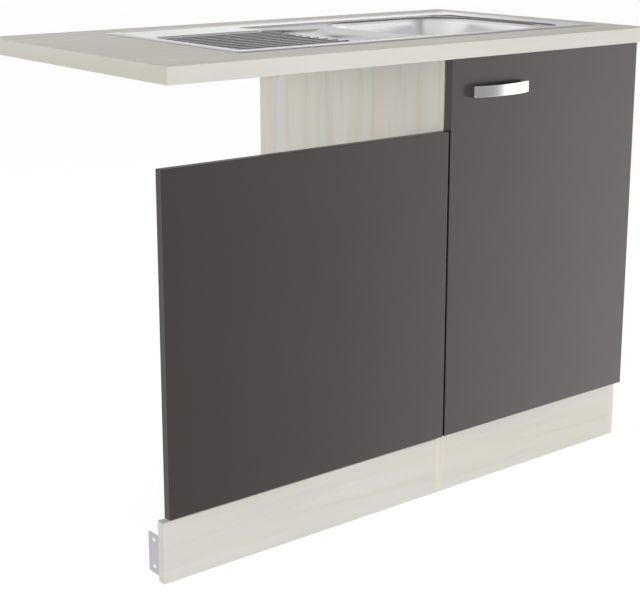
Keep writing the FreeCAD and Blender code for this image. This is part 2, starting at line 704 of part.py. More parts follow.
def worktop_angles():
    angles = []
    for x_inner, inward, y in worktop_angle_places():
        upright = block(0, 1.5, -9, 9, Z_UNDER - 25, Z_UNDER)
        level = block(0, 25, -9, 9, Z_UNDER - 1.5, Z_UNDER)
        piece = join([upright, level])
        holes = [rod(1.8, 4, Vector(17, 0, Z_UNDER - 3), Z_AXIS),
                 rod(1.8, 4, Vector(-1, 0, Z_UNDER - 17), X_AXIS)]
        piece = piece.cut(holes)
        angles.append(turned_to(piece, Vector(x_inner, y, 0), 0 if inward > 0 else 180))
    return group(angles)


def worktop_angle_screws():
    screws = []
    for x_inner, inward, y in worktop_angle_places():
        up = screw(Vector(17, 0, Z_UNDER + 12), -Z_AXIS, 1.75, 13.5, 3.4, 1.4)
        side = screw(Vector(-10.5, 0, Z_UNDER - 17), X_AXIS, 1.75, 12.0, 3.4, 1.4)
        for piece in (up, side):
            screws.append(turned_to(piece, Vector(x_inner, y, 0), 0 if inward > 0 else 180))
    return screws


# ---- door, handle and hinges ------------------------------------------------------------------
def front_panel(x0, x1, z0, z1):
    panel = block(x0, x1, FACE_Y, DOOR_BACK_Y, z0, z1)
    return panel.makeFillet(FRONT_ROUNDING, panel.Edges)


def hinge_cup(z):
    """Cast cup in the door with two screw wings and cheeks for the pivot pin."""
    centre = Vector(CUP_X, DOOR_BACK_Y, z)
    outer = rod(CUP_RADIUS, CUP_DEPTH, centre, -Y_AXIS)
    inner = rod(CUP_RADIUS - CUP_WALL, CUP_DEPTH - 0.8, centre, -Y_AXIS)
    mouth = rod(CUP_RADIUS - CUP_WALL, 8.0, centre - Y_AXIS * 2, Y_AXIS)
    wings = block(CUP_X - 9, CUP_X + 9, DOOR_BACK_Y, DOOR_BACK_Y + 1.2, z - 31, z + 31)
    wings = round_edges(wings, 6.0, lambda edge: runs_along(edge, Y_AXIS)).cut(mouth)
    cheeks = []
    for z0, z1 in ((z + 4.8, z + 16), (z - 16, z - 4.8)):
        cheek = block(PIVOT_X - 4.0, PIVOT_X + 12.0, PIVOT_Y - 3.0, PIVOT_Y + 4.0, z0, z1)
        cheeks.append(cheek.common(inner))
    cup = join([outer.cut(inner)] + cheeks + [wings]).cut(hinge_pin(z))
    holes = [rod(2.1, 3, Vector(CUP_X, DOOR_BACK_Y - 1, z + step), Y_AXIS) for step in (-24, 24)]
    return cup.cut(holes)


def hinge_pin(z):
    return rod(PIN_RADIUS, PIN_LENGTH, Vector(PIVOT_X, PIVOT_Y, z - PIN_LENGTH / 2), Z_AXIS)


def cup_screws(z):
    screws = []
    for step in (-24, 24):
        tip = Vector(CUP_X, DOOR_BACK_Y - 11, z + step)
        screws.append(screw(tip, Y_AXIS, 1.75, 12.2, 3.5, 0.7))
    return screws


def neck(z, half_wide):
    """Gooseneck from the pin, level along the cup's floor and then out of the cup."""
    half = NECK_THICK / 2
    bend_x = PIVOT_X - 8.9
    bend_y = PIVOT_Y + 3.6
    level = block(bend_x, PIVOT_X, PIVOT_Y - half, PIVOT_Y + half, z - half_wide, z + half_wide)
    eye = rod(2.5, 2 * half_wide, Vector(PIVOT_X, PIVOT_Y, z - half_wide), Z_AXIS)
    centre = Vector(bend_x, bend_y, z - half_wide)
    ring = rod(3.6 + half, 2 * half_wide, centre, Z_AXIS)
    ring = ring.cut(rod(3.6 - half, 2 * half_wide, centre, Z_AXIS))
    quarter = block(bend_x - 9, bend_x, bend_y - 9, bend_y, z - 9, z + 9)
    upright = block(bend_x - 3.6 - half, bend_x - 3.6 + half, bend_y, CARCASS_Y + 9,
                    z - half_wide, z + half_wide)
    bore = rod(PIN_RADIUS + PIN_CLEARANCE, 20, Vector(PIVOT_X, PIVOT_Y, z - 10), Z_AXIS)
    return join([level, eye, ring.common(quarter), upright]).cut(bore)


def hinge_arm(z):
    """Folded channel over the mounting plate, drawn out into the gooseneck."""
    inner = CAB_INNER_RIGHT
    web = block(inner - 8.5, inner - 6.9, CARCASS_Y + 3, CARCASS_Y + 62, z - 6, z + 6)
    sides = []
    for z0 in (z - 6, z + 4.8):
        sides.append(block(inner - 8.5, inner - 2.6, CARCASS_Y + 8, CARCASS_Y + 62, z0, z0 + 1.2))
    bridge = block(inner - 8.5, inner - 3.8, CARCASS_Y + 3, CARCASS_Y + 10, z - 4.8, z + 4.8)
    holes = []
    for y in (CARCASS_Y + 20, CARCASS_Y + 52):
        holes.append(rod(2.5, 4, Vector(inner - 10, y, z), X_AXIS))
    return join([web, bridge] + sides + [neck(z, 4.4)]).cut(holes)


def hinge_plate(z):
    """Cross-shaped mounting plate with a spine that the arm clips over."""
    inner = CAB_INNER_RIGHT
    row_y = CARCASS_Y + SYSTEM_ROW
    spine = block(inner - 4.6, inner, CARCASS_Y + 14, CARCASS_Y + 60, z - 4.5, z + 4.5)
    cross = block(inner - 2.2, inner, row_y - 6, row_y + 6, z - 24, z + 24)
    cross = round_edges(cross, 4.0, lambda edge: runs_along(edge, X_AXIS))
    holes = []
    for step in (-SYSTEM_PITCH / 2, SYSTEM_PITCH / 2):
        holes.append(rod(2.1, 4, Vector(inner - 3, row_y, z + step), X_AXIS))
    for y in (CARCASS_Y + 20, CARCASS_Y + 52):
        holes.append(rod(2.5, 3, Vector(inner - 5, y, z), X_AXIS))
    return join([spine, cross]).cut(holes)


def arm_screws(z):
    screws = []
    for y in (CARCASS_Y + 20, CARCASS_Y + 52):
        tip = Vector(CAB_INNER_RIGHT - 2.2, y, z)
        screws.append(screw(tip, -X_AXIS, 2.45, 6.3, 3.9, 1.6))
    return screws


def plate_screws(z):
    screws = []
    for step in (-SYSTEM_PITCH / 2, SYSTEM_PITCH / 2):
        tip = Vector(CAB_INNER_RIGHT + 11, CARCASS_Y + SYSTEM_ROW, z + step)
        screws.append(screw(tip, -X_AXIS, 2.0, 13.2, 3.6, 1.5))
    return screws


def handle_middle():
    x = DOOR_LEFT + HANDLE_FROM_EDGE + HANDLE_SPAN / 2
    return x, DOOR_TOP - HANDLE_FROM_TOP


def bow_handle():
    """Flat strip bowed away from the door, with a return foot at each end."""
    x, z = handle_middle()
    half = HANDLE_SPAN / 2
    end_y = FACE_Y - HANDLE_FOOT
    outer = Part.Arc(Vector(x - half, end_y, z), Vector(x, end_y - HANDLE_BOW, z),
                     Vector(x + half, end_y, z))
    inset = HANDLE_STRIP
    inner = Part.Arc(Vector(x + half - inset, end_y + inset, z),
                     Vector(x, end_y - HANDLE_BOW + inset, z),
                     Vector(x - half + inset, end_y + inset, z))
    foot_in = HANDLE_SPAN / 2 - 9.0
    corners = [Vector(x + half, end_y, z), Vector(x + half, FACE_Y, z), Vector(x + foot_in, FACE_Y, z),
               Vector(x + half - inset - 2.5, end_y + inset + 3, z),
               Vector(x + half - inset, end_y + inset, z)]
    right = [Part.makeLine(a, b) for a, b in zip(corners, corners[1:])]
    mirrored = [Vector(2 * x - corner.x, corner.y, z) for corner in reversed(corners)]
    left = [Part.makeLine(a, b) for a, b in zip(mirrored, mirrored[1:])]
    outline = Part.Wire([outer.toShape()] + right + [inner.toShape()] + left)
    strip = Part.Face(outline).extrude(Vector(0, 0, HANDLE_TALL))
    strip.translate(Vector(0, 0, -HANDLE_TALL / 2))
    holes = []
    for step in (-HANDLE_SCREWS / 2, HANDLE_SCREWS / 2):
        holes.append(rod(1.9, 9.0, Vector(x + step, FACE_Y, z), -Y_AXIS))
    return strip.cut(holes)


def handle_screws():
    x, z = handle_middle()
    screws = []
    for step in (-HANDLE_SCREWS / 2, HANDLE_SCREWS / 2):
        screws.append(screw(Vector(x + step, FACE_Y - 8.5, z), Y_AXIS, 1.9, FRONT_THICK + 8.5, 4.2, 1.9))
    return screws


def bumper_pads():
    pads = []
    for z in (FRONT_BOTTOM + 40, DOOR_TOP - 40):
        centre = Vector(CAB_LEFT + BOARD / 2, DOOR_BACK_Y, z)
        pads.append(Part.makeCone(4.5, 3.2, 1.9, centre, Y_AXIS))
    return group(pads)


def sink_door():
    panel = front_panel(DOOR_LEFT, DOOR_RIGHT, FRONT_BOTTOM, DOOR_TOP)
    pockets = []
    for z in HINGE_HEIGHTS.values():
        pockets.append(rod(CUP_RADIUS, CUP_DEPTH, Vector(CUP_X, DOOR_BACK_Y, z), -Y_AXIS))
        pockets.extend(cup_screws(z))
    pockets.extend(handle_screws())
    return panel.cut(pockets)


def dishwasher_front():
    return front_panel(X_LEFT + SIDE_GAP, CAB_LEFT - SIDE_GAP, FRONT_BOTTOM,
                       FRONT_BOTTOM + DISHWASHER_FRONT_HEIGHT)


# ---- plinths ----------------------------------------------------------------------------------
def plinth(x0, x1):
    panel = block(x0, x1, CARCASS_Y, CARCASS_Y + BOARD, 0, PLINTH_HEIGHT)

    def long_front(edge):
        return edge.CenterOfMass.y < CARCASS_Y + 0.01 and runs_along(edge, X_AXIS)
    return round_edges(panel, 0.8, long_front)


def bracket_places():
    """Each plinth bracket: its name, the face it lies against and the way its leg points."""
    return {
        "plinth_bracket_left_end": (X_LEFT, 1),
        "plinth_bracket_left_inner": (CAB_LEFT, -1),
        "plinth_bracket_right_inner": (CAB_INNER_LEFT, 1),
        "plinth_bracket_right_end": (CAB_INNER_RIGHT, -1),
    }


def bracket_hole_heights():
    middle = BRACKET_FROM_FLOOR + BRACKET_TALL / 2
    return (middle - BRACKET_HOLE_PITCH / 2, middle + BRACKET_HOLE_PITCH / 2)


def bracket(x_face, inward):
    """Angle with two holes in each leg and rounded outer corners."""
    z0 = BRACKET_FROM_FLOOR
    z1 = z0 + BRACKET_TALL
    back = CARCASS_Y + BOARD
    flange = block(0, BRACKET_SHEET, 0, BRACKET_REACH, z0, z1)
    flange = round_edges(flange, 4.0, lambda edge: runs_along(edge, X_AXIS)
                         and edge.CenterOfMass.y > BRACKET_REACH / 2)
    leg = block(0, BRACKET_LEG, 0, BRACKET_SHEET, z0, z1)
    leg = round_edges(leg, 4.0, lambda edge: runs_along(edge, Y_AXIS)
                      and edge.CenterOfMass.x > BRACKET_LEG / 2)
    holes = []
    for z in bracket_hole_heights():
        holes.append(rod(BRACKET_HOLE, 4, Vector(-1, BRACKET_REACH / 2, z), X_AXIS))
        holes.append(rod(BRACKET_HOLE, 4, Vector(BRACKET_LEG / 2, -1, z), Y_AXIS))
    angle = join([flange, leg]).cut(holes)
    if inward < 0:
        angle = angle.mirror(Vector(0, 0, 0), X_AXIS)
    angle.translate(Vector(x_face, back, 0))
    return angle


def plinth_screws():
    screws = []
    back = CARCASS_Y + BOARD
    length = PLINTH_SCREW_BITE + BRACKET_SHEET
    for name, (x_face, inward) in bracket_places().items():
        for z in bracket_hole_heights():
            leg_x = x_face + inward * BRACKET_LEG / 2
            tip = Vector(leg_x, back - PLINTH_SCREW_BITE, z)
            screws.append(screw(tip, Y_AXIS, 1.75, length, 3.6, 1.5))
            if name != "plinth_bracket_left_end":
                tip = Vector(x_face - inward * PLINTH_SCREW_BITE, back + BRACKET_REACH / 2, z)
                screws.append(screw(tip, X_AXIS * inward, 1.75, length, 3.6, 1.5))
    return screws


# ---- assembly ---------------------------------------------------------------------------------
def build():
    nodes = {
        "worktop": worktop(),
        "worktop_edging_front": edging_front(),
        "worktop_edging_left": edging_end(X_LEFT, 1),
        "worktop_edging_right": edging_end(X_RIGHT, -1),
        "sink": sink(),
        "sink_seal": sink_seal(),
        "sink_clips": sink_clips(),
        "sink_clip_screws": sink_clip_screws(),
        "waste_flange": waste_flange(),
        "waste_washer": waste_washer(),
        "waste_body": waste_body(),
        "waste_screw": waste_screw(),
        "strainer_basket": strainer_basket(),
        "strainer_sieve": strainer_sieve(),
        "strainer_knob": strainer_knob(),
        "overflow_grille": overflow_grille(),
        "overflow_elbow": overflow_elbow(),
        "overflow_pipe": overflow_pipe(),
        "sink_door": sink_door(),
        "bow_handle": bow_handle(),
        "handle_screws": group(handle_screws()),
        "bumper_pads": bumper_pads(),
        "dishwasher_front": dishwasher_front(),
        "worktop_angles": worktop_angles(),
    }
    nodes.update(trap_parts())
    nodes.update(carcass_boards())
    fittings = carcass_fittings()
    angle_screws = worktop_angle_screws()
    base_screws = plinth_screws()
    side_screws = []
    for name, z in HINGE_HEIGHTS.items():
        nodes["hinge_cup_" + name] = hinge_cup(z)
        nodes["hinge_pin_" + name] = hinge_pin(z)
        nodes["hinge_arm_" + name] = hinge_arm(z)
        nodes["hinge_plate_" + name] = hinge_plate(z)
        side_screws.extend(plate_screws(z))
    heights = list(HINGE_HEIGHTS.values())
    nodes["hinge_cup_screws"] = group([piece for z in heights for piece in cup_screws(z)])
    nodes["hinge_arm_screws"] = group([piece for z in heights for piece in arm_screws(z)])
    nodes["hinge_plate_screws"] = group(side_screws)
    nodes["worktop_angle_screws"] = group(angle_screws)
    nodes["plinth_screws"] = group(base_screws)
    nodes["plinth_left"] = plinth(X_LEFT, CAB_LEFT)
    nodes["plinth_right"] = plinth(CAB_INNER_LEFT, CAB_INNER_RIGHT)
    for name, (x_face, inward) in bracket_places().items():
        nodes[name] = bracket(x_face, inward)
    for name, pieces in fittings.items():
        nodes[name] = group(pieces)
    seated = {
        "side_panel_left": fittings["cam_bolts"] + fittings["wood_dowels"] + angle_screws + base_screws,
        "side_panel_right": (fittings["cam_bolts"] + fittings["wood_dowels"] + angle_screws
                             + base_screws + side_screws),
        "worktop": angle_screws,
        "plinth_left": base_screws,
        "plinth_right": base_screws,
    }
    for name in ("bottom_panel", "front_rail", "rear_rail_top", "rear_rail_bottom"):
        seated[name] = fittings["cam_bolts"] + fittings["wood_dowels"] + fittings["cam_housings"]
    for name, pieces in seated.items():
        nodes[name] = nodes[name].cut(pieces)
    return nodes


def main():
    os.makedirs("parts", exist_ok=True)
    for name, shape in build().items():
        shape.exportStep("parts/" + name + ".step")


main()
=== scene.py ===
import json
import math

import bmesh
import bpy
import numpy as np
from mathutils import Matrix, Vector
from mathutils.geometry import delaunay_2d_cdt


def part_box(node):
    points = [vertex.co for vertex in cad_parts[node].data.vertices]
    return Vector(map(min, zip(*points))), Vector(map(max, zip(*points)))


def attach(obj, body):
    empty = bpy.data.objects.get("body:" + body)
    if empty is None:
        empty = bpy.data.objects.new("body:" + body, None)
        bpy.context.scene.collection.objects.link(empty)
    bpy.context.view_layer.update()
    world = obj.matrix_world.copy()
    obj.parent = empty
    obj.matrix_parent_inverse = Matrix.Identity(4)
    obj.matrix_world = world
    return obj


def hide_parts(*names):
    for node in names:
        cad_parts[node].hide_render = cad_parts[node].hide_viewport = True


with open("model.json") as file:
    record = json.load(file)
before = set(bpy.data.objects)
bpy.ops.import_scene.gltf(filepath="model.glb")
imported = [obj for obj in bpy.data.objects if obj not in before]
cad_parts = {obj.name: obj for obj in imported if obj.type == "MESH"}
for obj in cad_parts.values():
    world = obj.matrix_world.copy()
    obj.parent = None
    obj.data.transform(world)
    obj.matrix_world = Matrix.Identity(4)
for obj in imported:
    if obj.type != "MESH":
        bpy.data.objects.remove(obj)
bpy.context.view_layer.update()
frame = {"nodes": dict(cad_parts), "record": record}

# Kitchen sink unit. Metres, in the frame's own axes: X along the unit, Y from the fronts to the
# wall, Z up, origin on the floor under the middle of the worktop.

NODES = frame["nodes"]
MM = 0.001


# ---- places read from the frame ---------------------------------------------------------------
SINK_LOW, SINK_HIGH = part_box("sink")
_, WORKTOP_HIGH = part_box("worktop")
HANDLE_LOW, HANDLE_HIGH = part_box("bow_handle")
FLANGE_LOW, FLANGE_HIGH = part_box("waste_flange")

TOP_Z = WORKTOP_HIGH.z
RIM_Z = SINK_HIGH.z
WASTE_X = (FLANGE_LOW.x + FLANGE_HIGH.x) / 2
WASTE_Y = (FLANGE_LOW.y + FLANGE_HIGH.y) / 2


# ---- sizes of the pressed sink ----------------------------------------------------------------
SHEET = 1.0 * MM
CLEARANCE = 2 * MM                  # least distance between a field's extra points and its rings
RIM_CORNER = 14 * MM
RIM_BAND = 21 * MM
RIM_FALL = 8 * MM
RIM_EDGE = 0.9 * MM
RIM_CROWN = 12 * MM
LEDGE_Z = TOP_Z + 1.6 * MM
DRAINER_Z = TOP_Z - 4.4 * MM
BASIN_Z = TOP_Z - 0.4 * MM
RIB_Z = TOP_Z + 0.2 * MM
PAN_CORNER = 16 * MM
BASIN_CORNER = 40 * MM
JOG_CORNER = 10 * MM
PAN_FRONT = SINK_LOW.y + 26.5 * MM
PAN_LEFT = SINK_LOW.x + 24 * MM
PAN_RIGHT = SINK_HIGH.x - 62 * MM
DRAINER_BACK = SINK_HIGH.y - 128 * MM
BASIN_BACK = SINK_HIGH.y - 56 * MM
BASIN_LEFT = PAN_RIGHT - 541 * MM
JOG_X = PAN_RIGHT - 526 * MM
STEP_BACK = (BASIN_LEFT - 200 * MM, DRAINER_BACK + 56 * MM)
STEP_NOSE = (PAN_RIGHT - 409 * MM, BASIN_BACK - 101 * MM)
STEP_HOLLOW = (PAN_RIGHT - 478 * MM, BASIN_BACK - 200 * MM)
STEP_FRONT_X = PAN_RIGHT - 466 * MM
CRISP = 4 * MM                      # ramp width where the step is sharp
RAMP_BEFORE = 28 * MM               # ramp width on the drainer's side of the nose
RAMP_AFTER = 18 * MM                # ramp width on the deck's side, in the hollow
RAMP_FRONT = 60 * MM                # and towards the front
NOSE_BLEND = 20 * MM
JOG_BLEND = (18 * MM, 70 * MM)
FRONT_BLEND = (50 * MM, 110 * MM)
RAMP_STRIDE = 4 * MM
RAMP_ROW = 2 * MM
RAMP_ROWS = range(-20, 17)
PAN_SLOPE = 1.6 * MM
WALL_STATIONS = 11
BOWL_RIGHT = SINK_HIGH.x - 77 * MM
BOWL_LEFT = BOWL_RIGHT - 354 * MM
BOWL_FRONT = SINK_LOW.y + 34 * MM
BOWL_BACK = SINK_LOW.y + 367 * MM
BOWL_FLOOR_Z = TOP_Z - 150 * MM
BOWL_CORNER = 92 * MM
BOWL_FLARE = 1 * MM
FLARE_DEPTH = 24 * MM
BOWL_LEAN = 0.1
BOWL_LIP = 4 * MM
BOWL_FOOT = 26 * MM
RECESS_RADIUS = 58 * MM
RECESS_DEPTH = 2.5 * MM
WASTE_RADIUS = 45 * MM
RIB_COUNT = 11
RIB_FRONT = SINK_LOW.y + 44 * MM
RIB_PITCH = 24 * MM
RIB_WIDTH = 13 * MM
RIB_CREST = 4 * MM
RIB_LEFT = SINK_LOW.x + 30 * MM
RIB_LENGTH = 262 * MM
RIB_END_BOW = 18 * MM
OVERFLOW_Z = TOP_Z - 62 * MM
OVERFLOW_RADIUS = 13 * MM
MOUTH_LENGTH = 40 * MM


# ---- mesh helpers -----------------------------------------------------------------------------
def put_in_scene(name, data):
    made = bpy.data.objects.new(name, data)
    bpy.context.scene.collection.objects.link(made)
    return made


def place_mesh(name, mesh, body, replaced=()):
    """Puts a finished mesh in the scene as a piece that rides on a body."""
    piece = put_in_scene(name, mesh)
    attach(piece, body)
    if replaced:
        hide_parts(*replaced)
    return piece


def mesh_from_bmesh(name, shape, smooth=True):
    mesh = bpy.data.meshes.new(name)
    shape.to_mesh(mesh)
    shape.free()
    for polygon in mesh.polygons:
        polygon.use_smooth = smooth
    return mesh


def extruded(outline, base_z, tall):
    """Closed outline in X and Y, drawn straight up from base_z."""
    shape = bmesh.new()
    base = shape.faces.new([shape.verts.new((x, y, base_z)) for x, y in outline])
    lifted = bmesh.ops.extrude_face_region(shape, geom=[base])
    tops = [item for item in lifted["geom"] if isinstance(item, bmesh.types.BMVert)]
    bmesh.ops.translate(shape, verts=tops, vec=(0, 0, tall))
    return shape


def add_modifier(piece, kind, **settings):
    modifier = piece.modifiers.new(kind.lower(), kind)
    for key, value in settings.items():
        setattr(modifier, key, value)
    return modifier


def soften_edges(piece, width, segments=3, angle=35):
    add_modifier(piece, "BEVEL", width=width, segments=segments, limit_method="ANGLE",
                 angle_limit=math.radians(angle), harden_normals=True)


def settled_mesh(piece):
    """The piece's mesh with its modifiers taken in."""
    graph = bpy.context.evaluated_depsgraph_get()
    graph.update()
    return bpy.data.meshes.new_from_object(piece.evaluated_get(graph))


def cut_away(mesh, cutters):
    """The mesh less the cutter meshes."""
    work = put_in_scene("work", mesh)
    tools = []
    for cutter in cutters:
        tool = put_in_scene("tool", cutter)
        tools.append(tool)
        add_modifier(work, "BOOLEAN", operation="DIFFERENCE", object=tool, solver="EXACT")
    result = settled_mesh(work)
    for item in [work] + tools:
        bpy.data.objects.remove(item)
    return result


def lathe_mesh(name, profile, steps, matrix):
    """Solid turned about Z from (radius, height) points, then moved by matrix."""
    shape = bmesh.new()
    rings = []
    for radius, height in profile:
        if radius == 0:
            rings.append([shape.verts.new((0, 0, height))])
            continue
        ring = []
        for step in range(steps):
            angle = 2 * math.pi * step / steps
            ring.append(shape.verts.new((radius * math.cos(angle), radius * math.sin(angle), height)))
        rings.append(ring)
    for lower, upper in zip(rings, rings[1:]):
        for step in range(steps):
            after = (step + 1) % steps
            corners = [lower[step % len(lower)], lower[after % len(lower)],
                       upper[after % len(upper)], upper[step % len(upper)]]
            shape.faces.new(list(dict.fromkeys(corners)))
    bmesh.ops.recalc_face_normals(shape, faces=shape.faces)
    bmesh.ops.transform(shape, matrix=matrix, verts=shape.verts)
    return mesh_from_bmesh(name, shape)


def islands(node):
    """Vertex places of each separate solid in a CAD node."""
    mesh = NODES[node].data
    shape = bmesh.new()
    shape.from_mesh(mesh)
    bmesh.ops.remove_doubles(shape, verts=shape.verts, dist=1e-6)
    seen = set()
    groups = []
    for first in shape.verts:
        if first in seen:
            continue
        stack = [first]
        seen.add(first)
        found = []
        while stack:
            vert = stack.pop()
            found.append(vert.co.copy())
            for edge in vert.link_edges:
                other = edge.other_vert(vert)
                if other not in seen:
                    seen.add(other)
                    stack.append(other)
        groups.append(found)
    shape.free()
    return groups


# ---- outlines ---------------------------------------------------------------------------------
def filleted_loop(corners, arc_steps, run_steps):
    """Closed loop through (x, y, radius) corners, each rounded, with the runs divided evenly."""
    stations = []
    count = len(corners)
    for index, (x, y, radius) in enumerate(corners):
        here = Vector((x, y))
        before = Vector(corners[index - 1][:2])
        after = Vector(corners[(index + 1) % count][:2])
        incoming = (before - here).normalized()
        outgoing = (after - here).normalized()
        half = incoming.angle(outgoing) / 2
        start = here + incoming * radius / math.tan(half)
        centre = here + (incoming + outgoing).normalized() * radius / math.sin(half)
        turn = (math.pi - 2 * half) * (1 if incoming.cross(outgoing) < 0 else -1)
        arm = start - centre
        stations.append([centre + Matrix.Rotation(turn * step / arc_steps, 2) @ arm
                         for step in range(arc_steps + 1)])
    loop = []
    for index, arc in enumerate(stations):
        loop.extend(arc)
        target = stations[(index + 1) % count][0]
        for step in range(1, run_steps):
            loop.append(arc[-1].lerp(target, step / run_steps))
    return loop


def rectangle(x0, x1, y0, y1, radius):
    return [(x0, y0, radius), (x1, y0, radius), (x1, y1, radius), (x0, y1, radius)]


def soft_fall(steps):
    """(way across, way down) pairs of a slope with rounded top and foot."""
    return [(step / steps, 0.5 - 0.5 * math.cos(math.pi * step / steps))
            for step in range(steps + 1)]


# ---- the pressed sink -------------------------------------------------------------------------
class Sheet:
    """A sheet-metal skin built from rings of points and flat fields between them."""

    def __init__(self):
        self.shape = bmesh.new()

    def ring(self, loop, height):
        heights = height if callable(height) else (lambda x, y: height)
        return [self.shape.verts.new((p[0], p[1], heights(p[0], p[1]))) for p in loop]

    def bridge(self, outer, inner):
        count = len(outer)
        for step in range(count):
            after = (step + 1) % count
            self.shape.faces.new((outer[step], outer[after], inner[after], inner[step]))

    def run(self, rings):
        for outer, inner in zip(rings, rings[1:]):
            self.bridge(outer, inner)

    def cap(self, ring):
        self.shape.faces.new(ring)

    def field(self, rings, height, extra=()):
        """Fills the level area between closed rings; extra points shape its rise and fall."""
        places = []
        edges = []
        for ring in rings:
            start = len(places)
            places.extend(ring)
            edges.extend((start + step, start + (step + 1) % len(ring)) for step in range(len(ring)))
        flat = [Vector((vert.co.x, vert.co.y)) for vert in places]
        spots = np.array([tuple(point) for point in flat])
        ends = spots[np.array(edges)]
        for x, y in extra:
            gap = np.min(np.hypot(spots[:, 0] - x, spots[:, 1] - y))
            if odd_crossings(ends, x, y) and gap > CLEARANCE:
                places.append(self.shape.verts.new((x, y, height(x, y))))
                flat.append(Vector((x, y)))
        found, _, triangles, origins, _, _ = delaunay_2d_cdt(flat, edges, [], 0, 1e-7)
        for triangle in triangles:
            middle = sum((found[index] for index in triangle), Vector((0, 0))) / 3
            if odd_crossings(ends, middle.x, middle.y):
                corners = [places[origins[index][0]] for index in triangle]
                self.shape.faces.new(corners)


def odd_crossings(ends, x, y):
    """Whether a point lies inside the area bounded by these edges."""
    x0, y0 = ends[:, 0, 0], ends[:, 0, 1]
    x1, y1 = ends[:, 1, 0], ends[:, 1, 1]
    spans = (y0 > y) != (y1 > y)
    rise = np.where(y1 == y0, 1.0, y1 - y0)
    crossing = x0 + (y - y0) * (x1 - x0) / rise
    return np.count_nonzero(spans & (crossing > x)) % 2 == 1


def step_edge():
    """Line where the sunk drainer meets the higher deck, from behind the ribs to the front."""
    beyond = 200 * MM
    corners = [(PAN_RIGHT + beyond, PAN_FRONT - beyond, 10 * MM),
               (PAN_RIGHT + beyond, BASIN_BACK + beyond, 10 * MM),
               (*STEP_BACK, 4 * MM), (*STEP_NOSE, 14 * MM), (*STEP_HOLLOW, 60 * MM),
               (STEP_FRONT_X, PAN_FRONT - beyond, 10 * MM)]
    loop = filleted_loop(corners, 12, 40)
    return [point for point in loop if PAN_FRONT - 20 * MM < point.y < STEP_BACK[1] - 1 * MM]


STEP_LINE = np.array([tuple(point) for point in step_edge()])


def fade(value, low, high):
    """Smooth 0..1 between low and high."""
    share = min(max((value - low) / (high - low), 0), 1)
    return share * share * (3 - 2 * share)


def pan_floor(x, y):
    """Level of the pan: the sunk drainer and the ramp up to the deck round the bowl."""
    starts = STEP_LINE[:-1]
    runs = STEP_LINE[1:] - starts
    arms = np.array((x, y)) - starts
    along = np.clip((arms * runs).sum(1) / (runs * runs).sum(1), 0, 1)
    gaps = arms - along[:, None] * runs
    nearest = int(np.argmin((gaps * gaps).sum(1)))
    side = runs[nearest][0] * arms[nearest][1] - runs[nearest][1] * arms[nearest][0]
    away = math.copysign(math.hypot(*gaps[nearest]), side)
    foot_x, foot_y = starts[nearest] + along[nearest] * runs[nearest]
    behind = fade(foot_y, STEP_HOLLOW[1], STEP_NOSE[1] - NOSE_BLEND)
    before = CRISP + (RAMP_BEFORE - CRISP) * behind * fade(foot_x - JOG_X, *JOG_BLEND)
    wide = RAMP_AFTER + (RAMP_FRONT - RAMP_AFTER) * fade(-foot_y, *FRONT_BLEND)
    after = wide + (CRISP - wide) * behind
    share = min(max((away + before) / (before + after), 0), 1)
    rising = behind * fade(share, 0, 1) + (1 - behind) * (1 - (1 - share) ** 2)
    return DRAINER_Z + (BASIN_Z - DRAINER_Z) * rising


def step_points():
    """Rows of points beside the step line, so that the ramp keeps a smooth slope."""
    rows = []
    for start, end in zip(STEP_LINE, STEP_LINE[1:]):
        run = Vector(end) - Vector(start)
        beside = Vector((-run.y, run.x)).normalized()
        count = max(1, round(run.length / RAMP_STRIDE))
        for step in range(count):
            foot = Vector(start).lerp(Vector(end), step / count)
            rows.extend(foot + beside * away * RAMP_ROW for away in RAMP_ROWS)
    return rows


def pan_corners(inset):
    """The pan's outline: the drainer and the wider basin beside it."""
    slant = (JOG_X - BASIN_LEFT) / (BASIN_BACK - DRAINER_BACK)
    corner = inset * (math.hypot(1, slant) + slant)
    return [
        (PAN_LEFT + inset, PAN_FRONT + inset, PAN_CORNER - inset),
        (PAN_RIGHT - inset, PAN_FRONT + inset, BASIN_CORNER - inset),
        (PAN_RIGHT - inset, BASIN_BACK - inset, BASIN_CORNER - inset),
        (BASIN_LEFT + corner, BASIN_BACK - inset, JOG_CORNER - inset),
        (JOG_X + corner, DRAINER_BACK - inset, JOG_CORNER + inset),
        (PAN_LEFT + inset, DRAINER_BACK - inset, PAN_CORNER - inset),
    ]


def rim_rings(sheet):
    """Folded edge on the worktop, low crown and the soft drop to the tap ledge."""
    rise = RIM_Z - TOP_Z
    stations = []
    for step in range(4):
        angle = math.pi / 2 * step / 4
        stations.append((RIM_EDGE * (1 - math.cos(angle)), TOP_Z + RIM_EDGE * math.sin(angle)))
    for step in range(1, 7):
        share = step / 6
        crown = RIM_EDGE + (rise - RIM_EDGE) * (1 - (1 - share) ** 2)
        stations.append((RIM_EDGE + RIM_CROWN * share, TOP_Z + crown))
    for across, down in soft_fall(6):
        stations.append((RIM_BAND - RIM_FALL * (1 - across), RIM_Z - (RIM_Z - LEDGE_Z) * down))
    rings = []
    for inset, height in stations:
        corners = rectangle(SINK_LOW.x + inset, SINK_HIGH.x - inset, SINK_LOW.y + inset,
                            SINK_HIGH.y - inset, RIM_CORNER)
        rings.append(sheet.ring(filleted_loop(corners, 10, 6), height))
    sheet.run(rings)
    return rings[-1]


def pan_rings(sheet):
    """Short slope from the ledge down to the pan, whatever the pan's level there."""
    rings = []
    for across, down in soft_fall(6):
        def level(x, y, down=down):
            return LEDGE_Z + (pan_floor(x, y) - LEDGE_Z) * down
        rings.append(sheet.ring(filleted_loop(pan_corners(PAN_SLOPE * across), 10, 26), level))
    sheet.run(rings)
    return rings[0], rings[-1]


